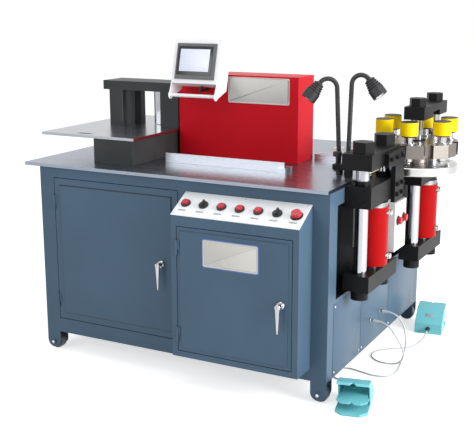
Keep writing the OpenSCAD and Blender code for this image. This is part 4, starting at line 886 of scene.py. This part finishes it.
LAMPS = [
    (Matrix.Translation(place(596, -245, TABLE_Z)) @ Matrix.Rotation(math.radians(-3), 4, "Y")
     @ Matrix.Rotation(math.radians(35), 4, "Z"), 355),
    (Matrix.Translation(place(634, -253, TABLE_Z)) @ Matrix.Rotation(math.radians(1.5), 4, "Y")
     @ Matrix.Scale(-1, 4, (1, 0, 0)), 373),
]
neck_bm = bmesh.new()
for lamp_at, height in LAMPS:
    gooseneck(neck_bm, lamp_at, height)
    lathe(neck_bm, [(0, 0), (0.015, 0), (0.015, 0.012), (0.0135, 0.016), (0.0125, 0.020), (0, 0.020)],
          Matrix.Translation(lamp_at.translation), 32)
necks = finish_piece("lamp_goosenecks", neck_bm, "cabinet", matt_black, 60)
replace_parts(necks, "lamp_necks")

# %% [markdown]
# Each lamp has a pale reflector dish inside its rim, with seven small lenses: one in the middle and six
# round it. All are turned, and one matrix at the lamp's mouth sets them on both heads.

# %% Lamp lenses
HEAD_LENGTH = 0.078
LENS_RING_R = 0.0148


def lamp_face(lamp_at, height):
    tip = Matrix.Translation(bend_point(height, NECK_SWEEP) / 1000) @ Matrix.Rotation(-NECK_SWEEP, 4, "Y")
    return lamp_at @ tip @ Matrix.Translation((0, 0, HEAD_LENGTH))


dish_bm, lens_bm = bmesh.new(), bmesh.new()
for lamp_at, height in LAMPS:
    face = lamp_face(lamp_at, height)
    lathe(dish_bm, [(0, 0.0002), (0.0282, 0.0002), (0.0282, 0.0050), (0.0262, 0.0046), (0.0235, 0.0020),
                    (0, 0.0012)], face)
    for k in range(7):
        out = LENS_RING_R if k else 0
        spot = face @ Matrix.Rotation(math.radians(60 * k), 4, "Z") @ Matrix.Translation((out, 0, 0.0010))
        lathe(lens_bm, [(0, 0.0030), (0.0030, 0.0027), (0.0052, 0.0017), (0.0062, 0), (0, 0)], spot, 20)
dish_pale = chrome("reflector_pale", (0.72, 0.73, 0.74), 0.3)
lens_pale = moulded("lens_pale", (0.88, 0.89, 0.88), 0.12, 220, 0.1)
finish_piece("lamp_dishes", dish_bm, "cabinet", dish_pale)
finish_piece("lamp_lenses", lens_bm, "cabinet", lens_pale)

# %% [markdown]
# Every punch slides in a bright bush that stands a little proud of the turret. The bushes are turned, as the
# real ones are, so that rim, chamfer and bore come from one short profile.

# %% Punch bushes
STATION_R = 147
TURRET_PLATE_Z = 981
STATIONS = [math.radians(94 - 60 * k) for k in range(6)]
bush_bm = bmesh.new()
for angle in STATIONS:
    x, y = TURRET_X + STATION_R * math.cos(angle), TURRET_Y + STATION_R * math.sin(angle)
    lathe(bush_bm, [(0.0196, 0.0), (0.0285, 0.0), (0.0285, 0.0050), (0.0270, 0.0064), (0.0215, 0.0064),
                    (0.0196, 0.0050), (0.0196, 0.0)], Matrix.Translation(place(x, y, TURRET_PLATE_Z)), 36)
finish_piece("punch_bushes", bush_bm, "turret_body", bright_chrome)

# %% [markdown]
# Socket-head bolts hold the press parts together. One bolt is turned with a hollow in its head, and the
# same helper places all of them.

# %% Bolts
def socket_bolt(bm, at, direction, d, h):
    r, r_hole = d / 2000, d / 3600
    lathe(bm, [(0, h / 2000), (r_hole, h / 2000), (r_hole, h / 1000), (r * 0.9, h / 1000), (r, h / 1150),
               (r, 0), (0, 0)], facing(at, direction), 18)


GUIDE_FACE_X = 829
GUIDE_BOLT, TOP_BOLT, FRONT_BOLT, PUNCH_BOLT = (19.2, 11), (17, 14), (15, 5), (16, 10)
bolt_bm = bmesh.new()
for y in (-190, -130):
    for z in (803, 845):
        socket_bolt(bolt_bm, place(GUIDE_FACE_X, y, z), (1, 0, 0), *GUIDE_BOLT)
for y in (-270, -200, -130):
    socket_bolt(bolt_bm, place(GUIDE_FACE_X, y, 960), (1, 0, 0), *GUIDE_BOLT)
for x in (730, 782):
    socket_bolt(bolt_bm, place(x, -437, 872), (0, 0, 1), *TOP_BOLT)
    for z in (806, 850):
        socket_bolt(bolt_bm, place(x, -450, z), (0, -1, 0), *FRONT_BOLT)
finish_piece("shear_bolts", bolt_bm, "cabinet", block_black)
bolt_bm = bmesh.new()
for y in (366, 450):
    for x in (772, 828):
        socket_bolt(bolt_bm, place(x, y, 846), (0, 0, 1), *PUNCH_BOLT)
finish_piece("punch_block_bolts", bolt_bm, "cabinet", block_black)

# %% [markdown]
# Each red cylinder has two zinc fittings for the oil: a hexagon on a short neck. The hexagon is a six-sided
# cone with equal ends, and the same shape makes the heads of the wheels' axle bolts.

# %% Oil fittings
def hexagon(bm, at, direction, width, height):
    made = bmesh.ops.create_cone(bm, cap_ends=True, segments=6, radius1=width / 2000, radius2=width / 2000,
                                 depth=height / 1000)["verts"]
    bmesh.ops.translate(bm, vec=(0, 0, height / 2000), verts=made)
    bmesh.ops.transform(bm, matrix=facing(at, direction), verts=made)
    round_edges(bm, edges_of(made), 0.0008, 2)


fit_bm = bmesh.new()
for x, y in ((756, -275), (800, 285)):
    for z in (560, 742):
        lathe(fit_bm, [(0, 0), (0.014, 0), (0.014, 0.010), (0.009, 0.012), (0.009, 0.020), (0, 0.020)],
              facing(place(x + 66, y, z), (1, 0, 0)), 24)
        hexagon(fit_bm, place(x + 76, y, z), (1, 0, 0), 26, 9)
for x, y, side in ((-665, -607, -1), (665, -607, -1), (-665, 607, 1), (665, 607, 1)):
    hexagon(fit_bm, place(x, y, 36), (0, side, 0), 15, 3)
finish_piece("oil_fittings_and_axle_bolts", fit_bm, "cabinet", zinc)

# %% [markdown]
# The switch box at the side has a bare silver front plate, and both mushroom buttons stand in dark rings. A
# ring is hollow inside its rim, so that a pressed button goes down into it without touching.

# %% Switch box front
FRONT_X = 790.6
front_bm = bmesh.new()
rounded_block(front_bm, place(789.8, -68, 528), place(FRONT_X, 68, 727), 0.0003, 2)
for y in (-58, 58):
    for z in (538, 717):
        dome_screw(front_bm, place(FRONT_X, y, z), (1, 0, 0), 7, 2)
finish_piece("switch_box_front", front_bm, "cabinet", plate_silver)
ring_bm = bmesh.new()
for y in (-37.5, 37.5):
    lathe(ring_bm, [(0.0092, 0.0), (0.0212, 0.0), (0.0212, 0.0022), (0.0203, 0.0030), (0.0179, 0.0030),
                    (0.0176, 0.0003), (0.0092, 0.0003), (0.0092, 0.0)],
          facing(place(FRONT_X - 0.1, y, 655), (1, 0, 0)), 40)
finish_piece("switch_box_rings", ring_bm, "cabinet", matt_black)

# %% [markdown]
# Each pedal has ribs across its tread and a small blank label on its sloping back. A black strain relief
# covers the gland, narrows towards the cord and keeps it from kinking; the side panel's glands have a pale
# one.

# %% Pedal fittings
PEDAL_RELIEF = [(0.0036, 0.036), (0.0052, 0.036), (0.0056, 0.033), (0.0066, 0.024), (0.0082, 0.022),
                (0.0086, 0.010), (0.0100, 0.009), (0.0100, 0.0003), (0.0036, 0.0003), (0.0036, 0.036)]
BACK_SLOPE = math.atan2(50, 60)
for side, pedal in (("front", FRONT_PEDAL), ("rear", REAR_PEDAL)):
    rib_bm = bmesh.new()
    tread = pedal @ Matrix.Translation((0, 0.055, 0.052)) @ Matrix.Rotation(math.radians(2), 4, "X")
    for y, half in ((-0.090, 0.052), (-0.101, 0.052), (-0.112, 0.050), (-0.123, 0.040)):
        rounded_block(rib_bm, (-half, y - 0.002, 0.0028), (half, y + 0.002, 0.0048), 0.0007, 2, tread)
    finish_piece(f"{side}_pedal_ribs", rib_bm, f"{side}_pedal_plate_body", pedal_teal)
    tag_bm = bmesh.new()
    slope = pedal @ Matrix.Translation((0, 0.060, 0.081)) @ Matrix.Rotation(-BACK_SLOPE, 4, "X")
    rounded_block(tag_bm, (-0.020, -0.009, -0.0002), (0.020, 0.009, 0.0009), 0.0003, 2, slope)
    finish_piece(f"{side}_pedal_label", tag_bm, "cabinet", label_grey)
    relief_bm = bmesh.new()
    back = pedal.to_3x3() @ Vector((0, 1, 0))
    lathe(relief_bm, PEDAL_RELIEF, facing(pedal @ Vector((0, 0.100, PEDAL_GLAND_Z)), back), 28)
    finish_piece(f"{side}_pedal_strain_relief", relief_bm, "cabinet", matt_black)
relief_bm = bmesh.new()
for y, z in ((16, 214), (-105, 206)):
    lathe(relief_bm, [(0.0036, 0.026), (0.0046, 0.026), (0.0050, 0.023), (0.0068, 0.0015), (0.0068, 0.0),
                      (0.0036, 0.0), (0.0036, 0.026)], facing(place(722.1, y, z), (1, 0, 0)), 28)
finish_piece("side_gland_strain_reliefs", relief_bm, "cabinet", cord_sheath)

# %% [markdown]
# The die column of the bender has a row of fine marks up its front edge, as a rule for the bar's height. A
# texture could draw them, but thin blocks that stand a little proud also reach the exported mesh.

# %% Bender marks
MARK_EDGE_X, FIRST_MARK_Z, MARK_PITCH = -579, 1022, 10
LONG_MARK, SHORT_MARK = 9, 5
mark_bm = bmesh.new()
for k in range(14):
    wide = SHORT_MARK if k % 5 else LONG_MARK
    z = FIRST_MARK_Z + MARK_PITCH * k
    low, high = place(MARK_EDGE_X - wide, -110.4, z), place(MARK_EDGE_X, -109.9, z + 1.6)
    rounded_block(mark_bm, low, high, 0.0002, 1)
mark_pale = satin("rule_mark_pale", (0.30, 0.30, 0.29), 0.5, 0.4)
finish_piece("bender_rule_marks", mark_bm, "cabinet", mark_pale)
